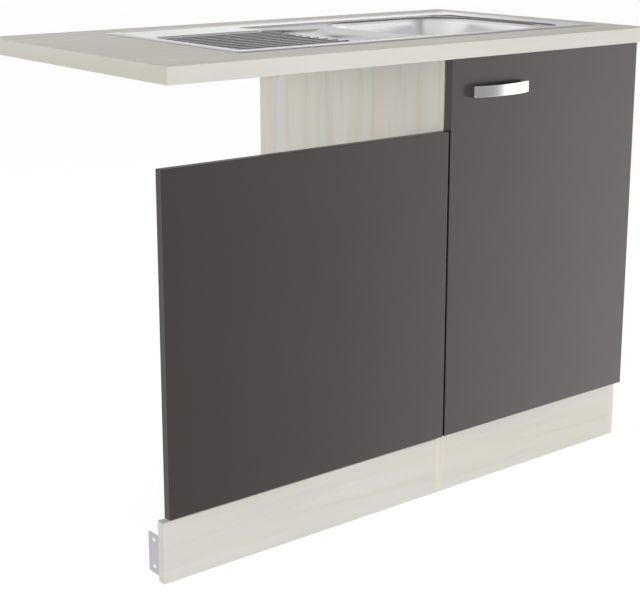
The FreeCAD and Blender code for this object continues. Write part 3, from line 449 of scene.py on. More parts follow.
def rib_right_end(index):
    along = 2.0 * index / (RIB_COUNT - 1) - 1.0
    return RIB_LEFT + RIB_LENGTH - RIB_END_BOW * (1.0 - along * along)


def rib_rings(sheet):
    """Long drainer ribs with rounded ends; the outer ring of each bounds the pan's floor."""
    feet = []
    for index in range(RIB_COUNT):
        y = RIB_FRONT + index * RIB_PITCH
        rings = []
        for across, down in soft_fall(6):
            half = RIB_WIDTH / 2 + (RIB_CREST - RIB_WIDTH) / 2 * across
            narrowed = RIB_WIDTH / 2 - half
            corners = rectangle(RIB_LEFT + narrowed, rib_right_end(index) - narrowed,
                                y - half, y + half, half * 0.98)
            level = DRAINER_Z + (RIB_Z - DRAINER_Z) * down
            rings.append(sheet.ring(filleted_loop(corners, 5, 3), level))
        sheet.run(rings)
        sheet.cap(rings[-1])
        feet.append(rings[0])
    return feet


def bowl_rings(sheet):
    """Drawn bowl: lip, leaning wall, rounded foot, floor that falls to the waste."""
    fall = BASIN_Z - BOWL_FLOOR_Z

    def wall_inset(depth):
        return BOWL_FLARE * (1 - math.exp(-depth / FLARE_DEPTH)) + BOWL_LEAN * depth
    stations = []
    for step in range(6):
        angle = math.pi / 2 * step / 5
        stations.append((-BOWL_LIP + BOWL_LIP * math.sin(angle),
                         BASIN_Z - BOWL_LIP * (1 - math.cos(angle))))
    for step in range(1, WALL_STATIONS):
        depth = BOWL_LIP + (fall - BOWL_LIP - BOWL_FOOT) * (step / WALL_STATIONS) ** 1.5
        stations.append((wall_inset(depth - BOWL_LIP), BASIN_Z - depth))
    for step in range(9):
        angle = math.pi / 2 * step / 8
        inset = wall_inset(fall - BOWL_FOOT - BOWL_LIP) + BOWL_FOOT * (1 - math.cos(angle))
        stations.append((inset, BOWL_FLOOR_Z + BOWL_FOOT * (1 - math.sin(angle))))
    rings = []
    outline = None
    for inset, height in stations:
        corners = rectangle(BOWL_LEFT + inset, BOWL_RIGHT - inset, BOWL_FRONT + inset,
                            BOWL_BACK - inset, BOWL_CORNER - inset)
        outline = filleted_loop(corners, 14, 8)
        rings.append(sheet.ring(outline, height))

    def round_waste(radius):
        """The point at this radius from the waste towards each point of the bowl's outline."""
        centre = Vector((WASTE_X, WASTE_Y))
        return [centre + (point - centre).normalized() * radius for point in outline]
    for share, drop in ((0.25, 0.0), (0.5, 0.3 * MM), (0.75, 0.7 * MM), (1.0, 1.0 * MM)):
        loop = [point.lerp(goal, share) for point, goal in zip(outline, round_waste(RECESS_RADIUS + MM))]
        rings.append(sheet.ring(loop, BOWL_FLOOR_Z - drop))
    recess_floor = BOWL_FLOOR_Z - RECESS_DEPTH
    for radius, height in ((RECESS_RADIUS, BOWL_FLOOR_Z - 1.3 * MM), (RECESS_RADIUS - MM, recess_floor),
                           (WASTE_RADIUS, recess_floor), (WASTE_RADIUS - 0.6 * MM, recess_floor - 2 * MM)):
        rings.append(sheet.ring(round_waste(radius), height))
    sheet.run(rings)
    return rings[0]


def sink_piece():
    """The whole sink as one bent sheet, with the overflow's mouth cut in the bowl's back wall."""
    sheet = Sheet()
    inner_rim = rim_rings(sheet)
    pan_top, pan_foot = pan_rings(sheet)
    sheet.field([inner_rim, pan_top], lambda x, y: LEDGE_Z)
    feet = rib_rings(sheet)
    lip = bowl_rings(sheet)
    sheet.field([pan_foot, lip] + feet, pan_floor, step_points())
    bmesh.ops.recalc_face_normals(sheet.shape, faces=sheet.shape.faces)
    if sum(face.normal.z * face.calc_area() for face in sheet.shape.faces) < 0:
        bmesh.ops.reverse_faces(sheet.shape, faces=sheet.shape.faces)
    work = put_in_scene("work", mesh_from_bmesh("sink_skin", sheet.shape))
    add_modifier(work, "SOLIDIFY", thickness=SHEET, offset=-1, use_even_offset=False)
    solid = settled_mesh(work)
    bpy.data.objects.remove(work)
    turn = Matrix.Rotation(-math.pi / 2, 4, "X")
    place = Matrix.Translation((WASTE_X, BOWL_BACK - MOUTH_LENGTH / 2, OVERFLOW_Z))
    profile = [(0, 0), (OVERFLOW_RADIUS, 0), (OVERFLOW_RADIUS, MOUTH_LENGTH), (0, MOUTH_LENGTH)]
    pressed = cut_away(solid, [lathe_mesh("mouth", profile, 32, place @ turn)])
    for polygon in pressed.polygons:
        polygon.use_smooth = True
    piece = place_mesh("pressed_sink", pressed, "cabinet", ["sink"])
    add_modifier(piece, "WEIGHTED_NORMAL", keep_sharp=True, weight=60)
    return piece


# ---- handle -----------------------------------------------------------------------------------
HANDLE_STRIP = 3 * MM
HANDLE_FOOT = 12 * MM
HANDLE_PAD = 9 * MM
HANDLE_STEPS = 40


def bow_handle_piece():
    """Flat strip bent to a shallow bow, turned back to the door at both ends."""
    middle = (HANDLE_LOW.x + HANDLE_HIGH.x) / 2
    half = (HANDLE_HIGH.x - HANDLE_LOW.x) / 2
    door_y = HANDLE_HIGH.y
    end_y = door_y - HANDLE_FOOT
    sagitta = end_y - HANDLE_LOW.y
    radius = (half * half + sagitta * sagitta) / (2 * sagitta)
    reach = math.asin(half / radius)

    def arc(shift, spread):
        points = []
        for step in range(HANDLE_STEPS + 1):
            angle = -spread + 2 * spread * step / HANDLE_STEPS
            points.append((middle + (radius - shift) * math.sin(angle),
                           HANDLE_LOW.y + radius - (radius - shift) * math.cos(angle)))
        return points
    inner_reach = math.asin((half - HANDLE_STRIP) / (radius - HANDLE_STRIP))
    outline = arc(0, reach)
    outline += [(middle + half, door_y), (middle + half - HANDLE_PAD, door_y),
                (middle + half - HANDLE_STRIP - 2.5 * MM, end_y + HANDLE_STRIP + 3 * MM)]
    outline += list(reversed(arc(HANDLE_STRIP, inner_reach)))
    outline += [(middle - half + HANDLE_STRIP + 2.5 * MM, end_y + HANDLE_STRIP + 3 * MM),
                (middle - half + HANDLE_PAD, door_y), (middle - half, door_y)]
    shape = extruded(outline, HANDLE_LOW.z, HANDLE_HIGH.z - HANDLE_LOW.z)
    bmesh.ops.recalc_face_normals(shape, faces=shape.faces)
    piece = place_mesh("bow_handle_strip", mesh_from_bmesh("bow_handle_strip", shape), "door",
                       ["bow_handle"])
    soften_edges(piece, 0.5 * MM, 3, 25)
    return piece


# ---- plinth brackets --------------------------------------------------------------------------
BRACKET_SHEET = 1.5 * MM
BRACKET_BEND = 2.2 * MM
BRACKET_ROUND = 4 * MM
BRACKET_HOLE = 2.9 * MM
BRACKET_SLOT = 1.6
BRACKET_HOLE_PITCH = 47 * MM


def bracket_piece(node, flange_on_left):
    """Pressed angle with dished screw holes in both legs."""
    low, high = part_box(node)
    wide = high.x - low.x
    deep = high.y - low.y
    tall = high.z - low.z
    bend = BRACKET_BEND
    outline = [(0, deep), (0, bend)]
    for step in range(1, 6):
        angle = math.pi / 2 * step / 5
        outline.append((bend - bend * math.cos(angle), bend - bend * math.sin(angle)))
    outline += [(wide, 0), (wide, BRACKET_SHEET), (bend, BRACKET_SHEET)]
    inner = bend - BRACKET_SHEET
    for step in range(1, 4):
        angle = math.pi / 2 * step / 4
        outline.append((bend - inner * math.sin(angle), bend - inner * math.cos(angle)))
    outline += [(BRACKET_SHEET, bend), (BRACKET_SHEET, deep)]
    shape = extruded(outline, 0, tall)
    corners = []
    for edge in shape.edges:
        a, b = (vert.co for vert in edge.verts)
        middle = (a + b) / 2
        level = min(middle.z, tall - middle.z) < 1e-6
        across_flange = abs(middle.y - deep) < 1e-6 and abs(a.y - b.y) < 1e-6
        across_leg = abs(middle.x - wide) < 1e-6 and abs(a.x - b.x) < 1e-6
        if level and (across_flange or across_leg):
            corners.append(edge)
    bmesh.ops.bevel(shape, geom=corners, offset=BRACKET_ROUND, segments=6, affect="EDGES", profile=0.5)
    bmesh.ops.recalc_face_normals(shape, faces=shape.faces)
    plain = mesh_from_bmesh("bracket", shape, False)
    dish = [(0, -0.4 * MM), (BRACKET_HOLE + 2.4 * MM, -0.4 * MM), (BRACKET_HOLE + 2.1 * MM, 0.3 * MM),
            (BRACKET_HOLE + 0.3 * MM, 1.0 * MM), (BRACKET_HOLE, 1.1 * MM), (BRACKET_HOLE, 3 * MM),
            (0, 3 * MM)]
    slotted = Matrix.Diagonal((1, BRACKET_SLOT, 1, 1))
    cutters = []
    for z in (tall / 2 - BRACKET_HOLE_PITCH / 2, tall / 2 + BRACKET_HOLE_PITCH / 2):
        side = Matrix.Translation((0, deep / 2, z)) @ slotted @ Matrix.Rotation(math.pi / 2, 4, "Y")
        back = Matrix.Translation((wide / 2, BRACKET_SHEET, z)) @ Matrix.Rotation(math.pi / 2, 4, "X")
        cutters.extend(lathe_mesh("dish", dish, 24, place) for place in (side, back))
    mesh = cut_away(plain, cutters)
    if flange_on_left:
        move = Matrix.Translation((low.x, low.y, low.z))
    else:
        move = Matrix.Translation((high.x, low.y, low.z)) @ Matrix.Diagonal((-1, 1, 1, 1))
    mesh.transform(move)
    if not flange_on_left:
        mesh.flip_normals()
    for polygon in mesh.polygons:
        polygon.use_smooth = False
    piece = place_mesh(node + "_pressed", mesh, "cabinet", [node])
    soften_edges(piece, 0.25 * MM, 2, 40)
    return piece


# ---- screws -----------------------------------------------------------------------------------
SCREW_TIP = 1.2 * MM
SCREW_PITCH = 1.1 * MM
SCREW_NECK = 0.6 * MM
SAME = 1e-5                         # metres within which two places count as one


def screw_profile(shank, length, head, head_thick):
    """Pan-head wood screw: pointed ridged shank under a domed head, from tip (0) up."""
    profile = [(0, 0), (shank * 0.55, SCREW_TIP)]
    height = SCREW_TIP
    while height + SCREW_PITCH < length - SCREW_NECK:
        for radius, share in ((0.72, 0), (0.98, 0.45), (0.72, 0.9)):
            profile.append((shank * radius, height + SCREW_PITCH * share))
        height += SCREW_PITCH
    profile += [(shank * 0.9, length), (head * 0.96, length)]
    for radius, share in ((1, 0.3), (0.82, 0.8), (0.45, 1), (0, 1)):
        profile.append((head * radius, length + head_thick * share))
    return profile


def cross_recess(head_top, size):
    """Cutter for the cross slot in a screw head."""
    arm, slim, deep = size / 2, size * 0.12, size * 0.275
    quarter = [(slim, -arm), (slim, -slim), (arm, -slim)]
    outline = []
    for turn in range(4):
        spin = Matrix.Rotation(math.pi / 2 * turn, 2)
        for corner in quarter:
            x, y = spin @ Vector(corner)
            outline.append((round(x, 9), round(y, 9)))
    shape = extruded(outline, head_top - deep, 2 * deep)
    bmesh.ops.recalc_face_normals(shape, faces=shape.faces)
    return mesh_from_bmesh("recess", shape, False)


def screws_piece(name, node, body):
    """One detailed screw in the place of each plain one in a CAD node."""
    joined = bmesh.new()
    ready = {}
    for points in islands(node):
        low = Vector([min(p[axis] for p in points) for axis in range(3)])
        high = Vector([max(p[axis] for p in points) for axis in range(3)])
        size = high - low
        axis = max(range(3), key=lambda a: size[a])
        across = (axis + 1) % 3
        middle = (low + high) / 2
        head = size[across] / 2
        wide = [p[axis] for p in points if abs(p[across] - middle[across]) > head * 0.9]
        head_low, head_high = min(wide), max(wide)
        up = head_high > middle[axis]
        head_thick = head_high - head_low
        length = size[axis] - head_thick
        shank_points = [p for p in points
                        if (p[axis] < head_low - SAME if up else p[axis] > head_high + SAME)]
        shank = max(abs(p[across] - middle[across]) for p in shank_points)
        key = tuple(round(value / SAME) for value in (length, head, shank))
        if key not in ready:
            profile = screw_profile(shank, length, head, head_thick)
            plain = lathe_mesh("screw", profile, 16, Matrix.Identity(4))
            ready[key] = cut_away(plain, [cross_recess(length + head_thick, head * 1.15)])
        pointing = Vector([0, 0, 0])
        pointing[axis] = 1 if up else -1
        tip = middle.copy()
        tip[axis] = low[axis] if up else high[axis]
        turn = Vector((0, 0, 1)).rotation_difference(pointing).to_matrix().to_4x4()
        copy = ready[key].copy()
        copy.transform(Matrix.Translation(tip) @ turn)
        joined.from_mesh(copy)
        bpy.data.meshes.remove(copy)
    mesh = mesh_from_bmesh(name, joined, False)
    return place_mesh(name, mesh, body, [node])


# ---- shader groups ----------------------------------------------------------------------------
def tone(red, green, blue):
    """A colour from its 0-255 display values."""
    linear = []
    for value in (red, green, blue):
        share = value / 255
        linear.append(share / 12.92 if share <= 0.04045 else ((share + 0.055) / 1.055) ** 2.4)
    return (*linear, 1.0)


class Tree:
    """Short calls for wiring a node tree."""

    def __init__(self, tree):
        self.tree = tree

    def add(self, kind, **settings):
        made = self.tree.nodes.new(kind)
        for key, value in settings.items():
            setattr(made, key, value)
        return made

    def link(self, source, target):
        self.tree.links.new(source, target)

    def math(self, operation, first, second):
        made = self.add("ShaderNodeMath", operation=operation)
        for socket, value in zip(made.inputs, (first, second)):
            if isinstance(value, (int, float)):
                socket.default_value = value
            else:
                self.link(value, socket)
        return made.outputs[0]

    def noise(self, vector, scale, detail=3.0, roughness=0.5, distortion=0.0):
        made = self.add("ShaderNodeTexNoise")
        self.link(vector, made.inputs["Vector"])
        made.inputs["Detail"].default_value = detail
        made.inputs["Roughness"].default_value = roughness
        made.inputs["Distortion"].default_value = distortion
        if isinstance(scale, (int, float)):
            made.inputs["Scale"].default_value = scale
        else:
            self.link(scale, made.inputs["Scale"])
        return made.outputs["Fac"]

    def mix(self, factor, first, second):
        made = self.add("ShaderNodeMix", data_type="RGBA")
        for socket, value in ((made.inputs[0], factor), (made.inputs[6], first), (made.inputs[7], second)):
            if isinstance(value, (int, float, tuple)):
                socket.default_value = value
            else:
                self.link(value, socket)
        return made.outputs[2]

    def spread(self, value, low, high):
        """Maps low..high of a value to 0..1, clamped."""
        made = self.add("ShaderNodeMapRange")
        made.inputs["From Min"].default_value = low
        made.inputs["From Max"].default_value = high
        self.link(value, made.inputs["Value"])
        return made.outputs["Result"]

    def toward(self, direction, aim):
        """How far a direction points along aim, from -1 to 1."""
        made = self.add("ShaderNodeVectorMath", operation="DOT_PRODUCT")
        self.link(direction, made.inputs[0])
        made.inputs[1].default_value = aim
        return made.outputs["Value"]

    def stretch(self, vector, x, y, z):
        made = self.add("ShaderNodeVectorMath", operation="MULTIPLY")
        self.link(vector, made.inputs[0])
        made.inputs[1].default_value = (x, y, z)
        return made.outputs[0]


def shader_group(name, inputs, outputs):
    tree = bpy.data.node_groups.new(name, "ShaderNodeTree")
    for label, kind, value in inputs:
        socket = tree.interface.new_socket(label, in_out="INPUT", socket_type=kind)
        if value is not None:
            socket.default_value = value
    for label, kind in outputs:
        tree.interface.new_socket(label, in_out="OUTPUT", socket_type=kind)
    wires = Tree(tree)
    return tree, wires, wires.add("NodeGroupInput"), wires.add("NodeGroupOutput")


def build_grain_group():
    """Printed wood decor: soft streaks and fine fibres that run along X of the given vector."""
    tree, wires, given, put = shader_group(
        "wood_decor",
        [("Vector", "NodeSocketVector", None), ("Base", "NodeSocketColor", tone(200, 195, 186)),
         ("Pale", "NodeSocketColor", tone(210, 206, 198)), ("Dark", "NodeSocketColor", tone(178, 171, 160)),
         ("Warm", "NodeSocketColor", tone(205, 195, 180)), ("Streaks", "NodeSocketFloat", 1.0)],
        [("Color", "NodeSocketColor"), ("Height", "NodeSocketFloat")])
    vector = given.outputs["Vector"]
    wide = wires.noise(wires.stretch(vector, 1.1, 14, 14), 1.0, 3.0, 0.55, 0.6)
    middle = wires.noise(wires.stretch(vector, 2.4, 46, 46), 1.0, 4.0, 0.6, 0.4)
    warm = wires.noise(wires.stretch(vector, 0.8, 9, 9), 1.3, 2.0, 0.5, 0.3)
    fibre = wires.noise(wires.stretch(vector, 9, 620, 620), 1.0, 2.0, 0.6)
    streaks = given.outputs["Streaks"]
    pale = wires.math("MULTIPLY", wires.spread(wide, 0.45, 0.72), streaks)
    dark = wires.math("MULTIPLY", wires.spread(middle, 0.5, 0.78), streaks)
    colour = wires.mix(pale, given.outputs["Base"], given.outputs["Pale"])
    colour = wires.mix(wires.math("MULTIPLY", wires.spread(warm, 0.5, 0.75), streaks), colour,
                       given.outputs["Warm"])
    colour = wires.mix(wires.math("MULTIPLY", dark, 0.75), colour, given.outputs["Dark"])
    lines = wires.math("MULTIPLY", wires.spread(fibre, 0.55, 0.8), 0.14)
    colour = wires.mix(wires.math("MULTIPLY", lines, streaks), colour, given.outputs["Dark"])
    wires.link(colour, put.inputs["Color"])
    wires.link(wires.math("ADD", fibre, wires.math("MULTIPLY", middle, 0.5)), put.inputs["Height"])
    return tree


def build_brushed_group():
    """Drawn or brushed metal: fine scratches along X of the given vector, with cloudy gloss."""
    tree, wires, given, put = shader_group(
        "brushed_lines",
        [("Vector", "NodeSocketVector", None), ("Base", "NodeSocketColor", tone(215, 215, 215)),
         ("Worn", "NodeSocketColor", tone(190, 190, 192)), ("Roughness", "NodeSocketFloat", 0.25),
         ("Variation", "NodeSocketFloat", 0.08)],
        [("Color", "NodeSocketColor"), ("Roughness", "NodeSocketFloat"), ("Height", "NodeSocketFloat")])
    vector = given.outputs["Vector"]
    lines = wires.noise(wires.stretch(vector, 14, 1500, 1500), 1.0, 3.0, 0.7)
    cloud = wires.noise(vector, 18.0, 3.0, 0.5)
    wires.link(wires.mix(wires.math("MULTIPLY", wires.spread(lines, 0.35, 0.8), 0.6),
                         given.outputs["Base"], given.outputs["Worn"]), put.inputs["Color"])
    swing = wires.math("MULTIPLY", wires.math("SUBTRACT", cloud, 0.5), given.outputs["Variation"])
    scratch = wires.math("MULTIPLY", wires.math("SUBTRACT", lines, 0.5), given.outputs["Variation"])
    rough = wires.math("ADD", given.outputs["Roughness"], wires.math("ADD", swing, scratch))
    wires.link(rough, put.inputs["Roughness"])
    wires.link(lines, put.inputs["Height"])
    return tree


def build_moulded_group():
    """Even skin of lacquer, plastic or rubber: faint mottling and a fine pebbled height."""
    tree, wires, given, put = shader_group(
        "fine_skin",
        [("Vector", "NodeSocketVector", None), ("Base", "NodeSocketColor", tone(120, 120, 120)),
         ("Mottle", "NodeSocketColor", tone(110, 110, 110)), ("Roughness", "NodeSocketFloat", 0.45),
         ("Variation", "NodeSocketFloat", 0.06), ("Grain", "NodeSocketFloat", 900.0)],
        [("Color", "NodeSocketColor"), ("Roughness", "NodeSocketFloat"), ("Height", "NodeSocketFloat")])
    vector = given.outputs["Vector"]
    pebble = wires.noise(vector, given.outputs["Grain"], 2.0, 0.5)
    cloud = wires.noise(vector, 7.0, 3.0, 0.5)
    wires.link(wires.mix(wires.spread(cloud, 0.35, 0.7), given.outputs["Base"], given.outputs["Mottle"]),
               put.inputs["Color"])
    swing = wires.math("MULTIPLY", wires.math("SUBTRACT", cloud, 0.5), given.outputs["Variation"])
    wires.link(wires.math("ADD", given.outputs["Roughness"], swing), put.inputs["Roughness"])
    wires.link(pebble, put.inputs["Height"])
    return tree


GRAIN = build_grain_group()
BRUSHED = build_brushed_group()
SKIN = build_moulded_group()


# ---- materials --------------------------------------------------------------------------------
def new_material(name):
    material = bpy.data.materials.new(name)
    material.use_nodes = True
    wires = Tree(material.node_tree)
    shader = material.node_tree.nodes["Principled BSDF"]
    return material, wires, shader


def place_vector(wires, along):
    """Object coordinates turned so that X runs along the named direction of the grain."""
    source = wires.add("ShaderNodeTexCoord").outputs["Object"]
    if along == "X":
        return source
    split = wires.add("ShaderNodeSeparateXYZ")
    wires.link(source, split.inputs[0])
    joined = wires.add("ShaderNodeCombineXYZ")
    order = {"Z": ("Z", "X", "Y"), "Y": ("Y", "X", "Z")}[along]
    for socket, axis in zip(joined.inputs, order):
        wires.link(split.outputs[axis], socket)
    return joined.outputs[0]


def set_group(wires, tree, **values):
    made = wires.add("ShaderNodeGroup", node_tree=tree)
    for label, value in values.items():
        socket = made.inputs[label.replace("_", " ")]
        if isinstance(value, bpy.types.NodeSocket):
            wires.link(value, socket)
        else:
            socket.default_value = value
    return made


def bump(wires, shader, height, strength, distance):
    made = wires.add("ShaderNodeBump")
    made.inputs["Strength"].default_value = strength
    made.inputs["Distance"].default_value = distance
    wires.link(height, made.inputs["Height"])
    wires.link(made.outputs[0], shader.inputs["Normal"])


def decor_material(name, along, base, pale, dark, warm, streaks, rough=0.62):
    material, wires, shader = new_material(name)
    grain = set_group(wires, GRAIN, Vector=place_vector(wires, along), Base=base, Pale=pale, Dark=dark,
                      Warm=warm, Streaks=streaks)
    wires.link(grain.outputs["Color"], shader.inputs["Base Color"])
    shader.inputs["Roughness"].default_value = rough
    shader.inputs["Specular IOR Level"].default_value = 0.12
    bump(wires, shader, grain.outputs["Height"], 0.12, 0.0002)
    return material


def metal_material(name, along, base, worn, rough, variation, relief=0.05):
    material, wires, shader = new_material(name)
    lines = set_group(wires, BRUSHED, Vector=place_vector(wires, along), Base=base, Worn=worn,
                      Roughness=rough, Variation=variation)
    wires.link(lines.outputs["Color"], shader.inputs["Base Color"])
    wires.link(lines.outputs["Roughness"], shader.inputs["Roughness"])
    shader.inputs["Metallic"].default_value = 1.0
    bump(wires, shader, lines.outputs["Height"], relief, 0.0001)
    return material


def sink_material():
    """Sheet steel, with base colours told apart by height as painted reflection: bright ledge and bowl,
    darker rim and deck, darkest drainer; the pan is also rougher.
    """
    material, wires, shader = new_material("sink_steel")
    place = place_vector(wires, "X")
    split = wires.add("ShaderNodeSeparateXYZ")
    wires.link(place, split.inputs[0])
    height = split.outputs["Z"]
    above_wall = wires.spread(height, TOP_Z - 9 * MM, TOP_Z - 6 * MM)
    below_ledge = wires.spread(height, TOP_Z + 0.6 * MM, TOP_Z - 0.3 * MM)
    in_drainer = wires.spread(height, TOP_Z - 1.5 * MM, TOP_Z - 3 * MM)
    on_rim = wires.spread(height, RIM_Z - 0.5 * MM, RIM_Z - 0.1 * MM)
    in_pan = wires.math("MULTIPLY", above_wall, below_ledge)
    # Painted reflection: these base colours step with height, bright on the ledge and bowl wall, darker on
    # the deck, darkest in the drainer, lilac grey on the rim.
    pan_painted_reflection = wires.mix(in_drainer, tone(190, 189, 190), tone(222, 221, 222))
    colour = wires.mix(in_pan, tone(242, 241, 242), pan_painted_reflection)
    colour = wires.mix(on_rim, colour, tone(222, 220, 224))
    dull = wires.math("ADD", wires.math("MULTIPLY", in_pan, 0.08), 0.19)
    lines = set_group(wires, BRUSHED, Vector=place, Base=colour, Worn=tone(206, 205, 208),
                      Roughness=dull, Variation=0.05)
    wires.link(lines.outputs["Color"], shader.inputs["Base Color"])
    wires.link(lines.outputs["Roughness"], shader.inputs["Roughness"])
    shader.inputs["Metallic"].default_value = 1.0
    bump(wires, shader, lines.outputs["Height"], 0.04, 0.0001)
    return material


def skin_material(name, base, mottle, rough, variation, grain, relief=0.1, gloss=0.5):
    material, wires, shader = new_material(name)
    skin = set_group(wires, SKIN, Vector=place_vector(wires, "X"), Base=base, Mottle=mottle,
                     Roughness=rough, Variation=variation, Grain=grain)
    wires.link(skin.outputs["Color"], shader.inputs["Base Color"])
    wires.link(skin.outputs["Roughness"], shader.inputs["Roughness"])
    shader.inputs["Specular IOR Level"].default_value = gloss
    bump(wires, shader, skin.outputs["Height"], relief, 0.0001)
    return material


DECORS = {
    "worktop_decor": ("X", (213, 209, 202), (222, 219, 213), (198, 192, 183), (215, 209, 199), 1.0),
    "edging_decor": ("X", (214, 211, 204), (219, 217, 211), (205, 201, 192), (216, 211, 201), 0.7),
    # end_decor is the worktop's decor painted a little darker, as painted shade that offsets the strong
    # left lamp on the worktop's ends.
    "end_decor": ("Y", (209, 205, 196), (213, 211, 205), (199, 193, 183), (206, 203, 189), 1.0),
    # carcass_board is the worktop's decor painted lighter, as painted light that offsets the shade in the
    # bay under the worktop.
    "carcass_board": ("Z", (229, 225, 213), (231, 230, 228), (215, 207, 193), (231, 217, 207), 1.0),
    "plinth_board": ("X", (220, 217, 210), (225, 223, 219), (210, 207, 198), (221, 217, 204), 1.0),
    "beech_dowel": ("X", (205, 172, 130), (214, 184, 145), (184, 148, 106), (208, 170, 122), 1.0, 0.65),
}
METALS = {
    "polished_steel": ("X", (225, 225, 226), (205, 205, 207), 0.12, 0.04),
    "handle_nickel": ("X", (224, 223, 221), (200, 199, 197), 0.26, 0.08, 0.12),
    "hinge_nickel": ("Y", (206, 204, 199), (186, 184, 178), 0.3, 0.08),
    "zinc_steel": ("Z", (198, 200, 203), (178, 180, 184), 0.38, 0.12),
    "screw_steel": ("Z", (200, 201, 202), (178, 179, 181), 0.3, 0.1),
    "cam_zinc": ("Z", (176, 177, 180), (156, 157, 160), 0.42, 0.1),
}
SKINS = {
    "anthracite_front": ((52, 45, 42), (49, 42, 39), 0.33, 0.03, 1400.0, 0.03, 0.55),
    "bracket_steel": ((200, 198, 203), (193, 191, 196), 0.5, 0.08, 900.0),
    "white_plastic": ((228, 228, 225), (222, 222, 219), 0.38, 0.06, 700.0),
    "seal_rubber": ((58, 58, 58), (50, 50, 50), 0.75, 0.1, 1600.0, 0.3),
    "bumper_rubber": ((215, 215, 210), (205, 205, 200), 0.3, 0.05, 800.0),
}


def all_materials():
    """Every material by name; the colours in the tables are display values."""
    made = {"sink_steel": sink_material()}
    for build, table in ((decor_material, DECORS), (metal_material, METALS), (skin_material, SKINS)):
        for name, values in table.items():
            values = [tone(*value) if isinstance(value, tuple) else value for value in values]
            made[name] = build(name, *values)
    return made


MATERIALS = all_materials()


# ---- pieces -----------------------------------------------------------------------------------
def dress(piece, material):
    piece.data.materials.clear()
    piece.data.materials.append(material)


def dress_frame_nodes():
    """Each shown CAD piece takes the material of its own slot, except the worktop's two end edgings, which
    take end_decor, the decor painted darker as painted shade.
    """
    slots = {entry["node"]: entry["material_slot"] for entry in frame["record"]["subparts"]}
    for name, node in NODES.items():
        material = MATERIALS[slots[name]]
        # The end edgings get the darker end_decor: painted shade.
        if name in ("worktop_edging_left", "worktop_edging_right"):
            material = MATERIALS["end_decor"]
        dress(node, material)


dress_frame_nodes()
dress(sink_piece(), MATERIALS["sink_steel"])
dress(bow_handle_piece(), MATERIALS["handle_nickel"])
for bracket, flange_on_left in (("left_end", True), ("left_inner", False),
                                ("right_inner", True), ("right_end", False)):
    dress(bracket_piece("plinth_bracket_" + bracket, flange_on_left), MATERIALS["bracket_steel"])
for screw_node, screw_body in (("plinth_screws", "cabinet"), ("worktop_angle_screws", "cabinet"),
                               ("sink_clip_screws", "cabinet"), ("hinge_arm_screws", "cabinet"),
                               ("hinge_plate_screws", "cabinet"), ("hinge_cup_screws", "door")):
    slot_name = "zinc_steel" if screw_node == "sink_clip_screws" else "screw_steel"
    screws = screws_piece(screw_node + "_threaded", screw_node, screw_body)
    dress(screws, MATERIALS[slot_name])


# ---- camera, light and stage ------------------------------------------------------------------
CAMERA_PLACE = Vector((-1.667, -2.082, 1.085))
CAMERA_YAW = math.radians(38.23)
CAMERA_PITCH = math.radians(-13.25)
FOCAL_PIXELS = 1422.0
IMAGE_WIDTH = 640
CAMERA_SHIFT_Y = -0.10
SENSOR_WIDTH = 36
PALE_DIRECTION = (0.6, 0.8, 0.0)
LEFT_DIRECTION = (-0.961, 0.258, 0.1)

# Brightness of the parts of the room that the steel and the fronts mirror.
ROOM_FRONT = 0.42
ROOM_BACK = 1.04
ROOM_BACK_LEFT = 0.88
ROOM_BACK_RIGHT = 0.62
LEFT_GLOW = 1.05
CEILING = 0.19
UPPER_WINDOW = 1.3
LOWER_WINDOW = 3.2

FLOOR_TONE = 0.8
FLOOR_GLOW = 1.16
FLOOR_GLOW_SHARE = 0.8
FLOOR_REACH = 30.0


def grey(level):
    return (level, level, level, 1)


def add_camera():
    data = bpy.data.cameras.new("camera")
    data.sensor_width = SENSOR_WIDTH
    data.lens = FOCAL_PIXELS / IMAGE_WIDTH * data.sensor_width
    data.shift_y = CAMERA_SHIFT_Y
    camera = put_in_scene("camera", data)
    forward = Vector((math.sin(CAMERA_YAW) * math.cos(CAMERA_PITCH),
                      math.cos(CAMERA_YAW) * math.cos(CAMERA_PITCH), math.sin(CAMERA_PITCH)))
    camera.location = CAMERA_PLACE
    camera.rotation_euler = forward.to_track_quat("-Z", "Y").to_euler()
    bpy.context.scene.camera = camera


def add_softbox(name, place, target, wide, tall, power):
    data = bpy.data.lights.new(name, "AREA")
    data.shape = "RECTANGLE"
    data.size = wide
    data.size_y = tall
    data.energy = power
    lamp = put_in_scene(name, data)
    lamp.location = place
    lamp.rotation_euler = (Vector(target) - Vector(place)).to_track_quat("-Z", "Y").to_euler()
    lamp.visible_glossy = False


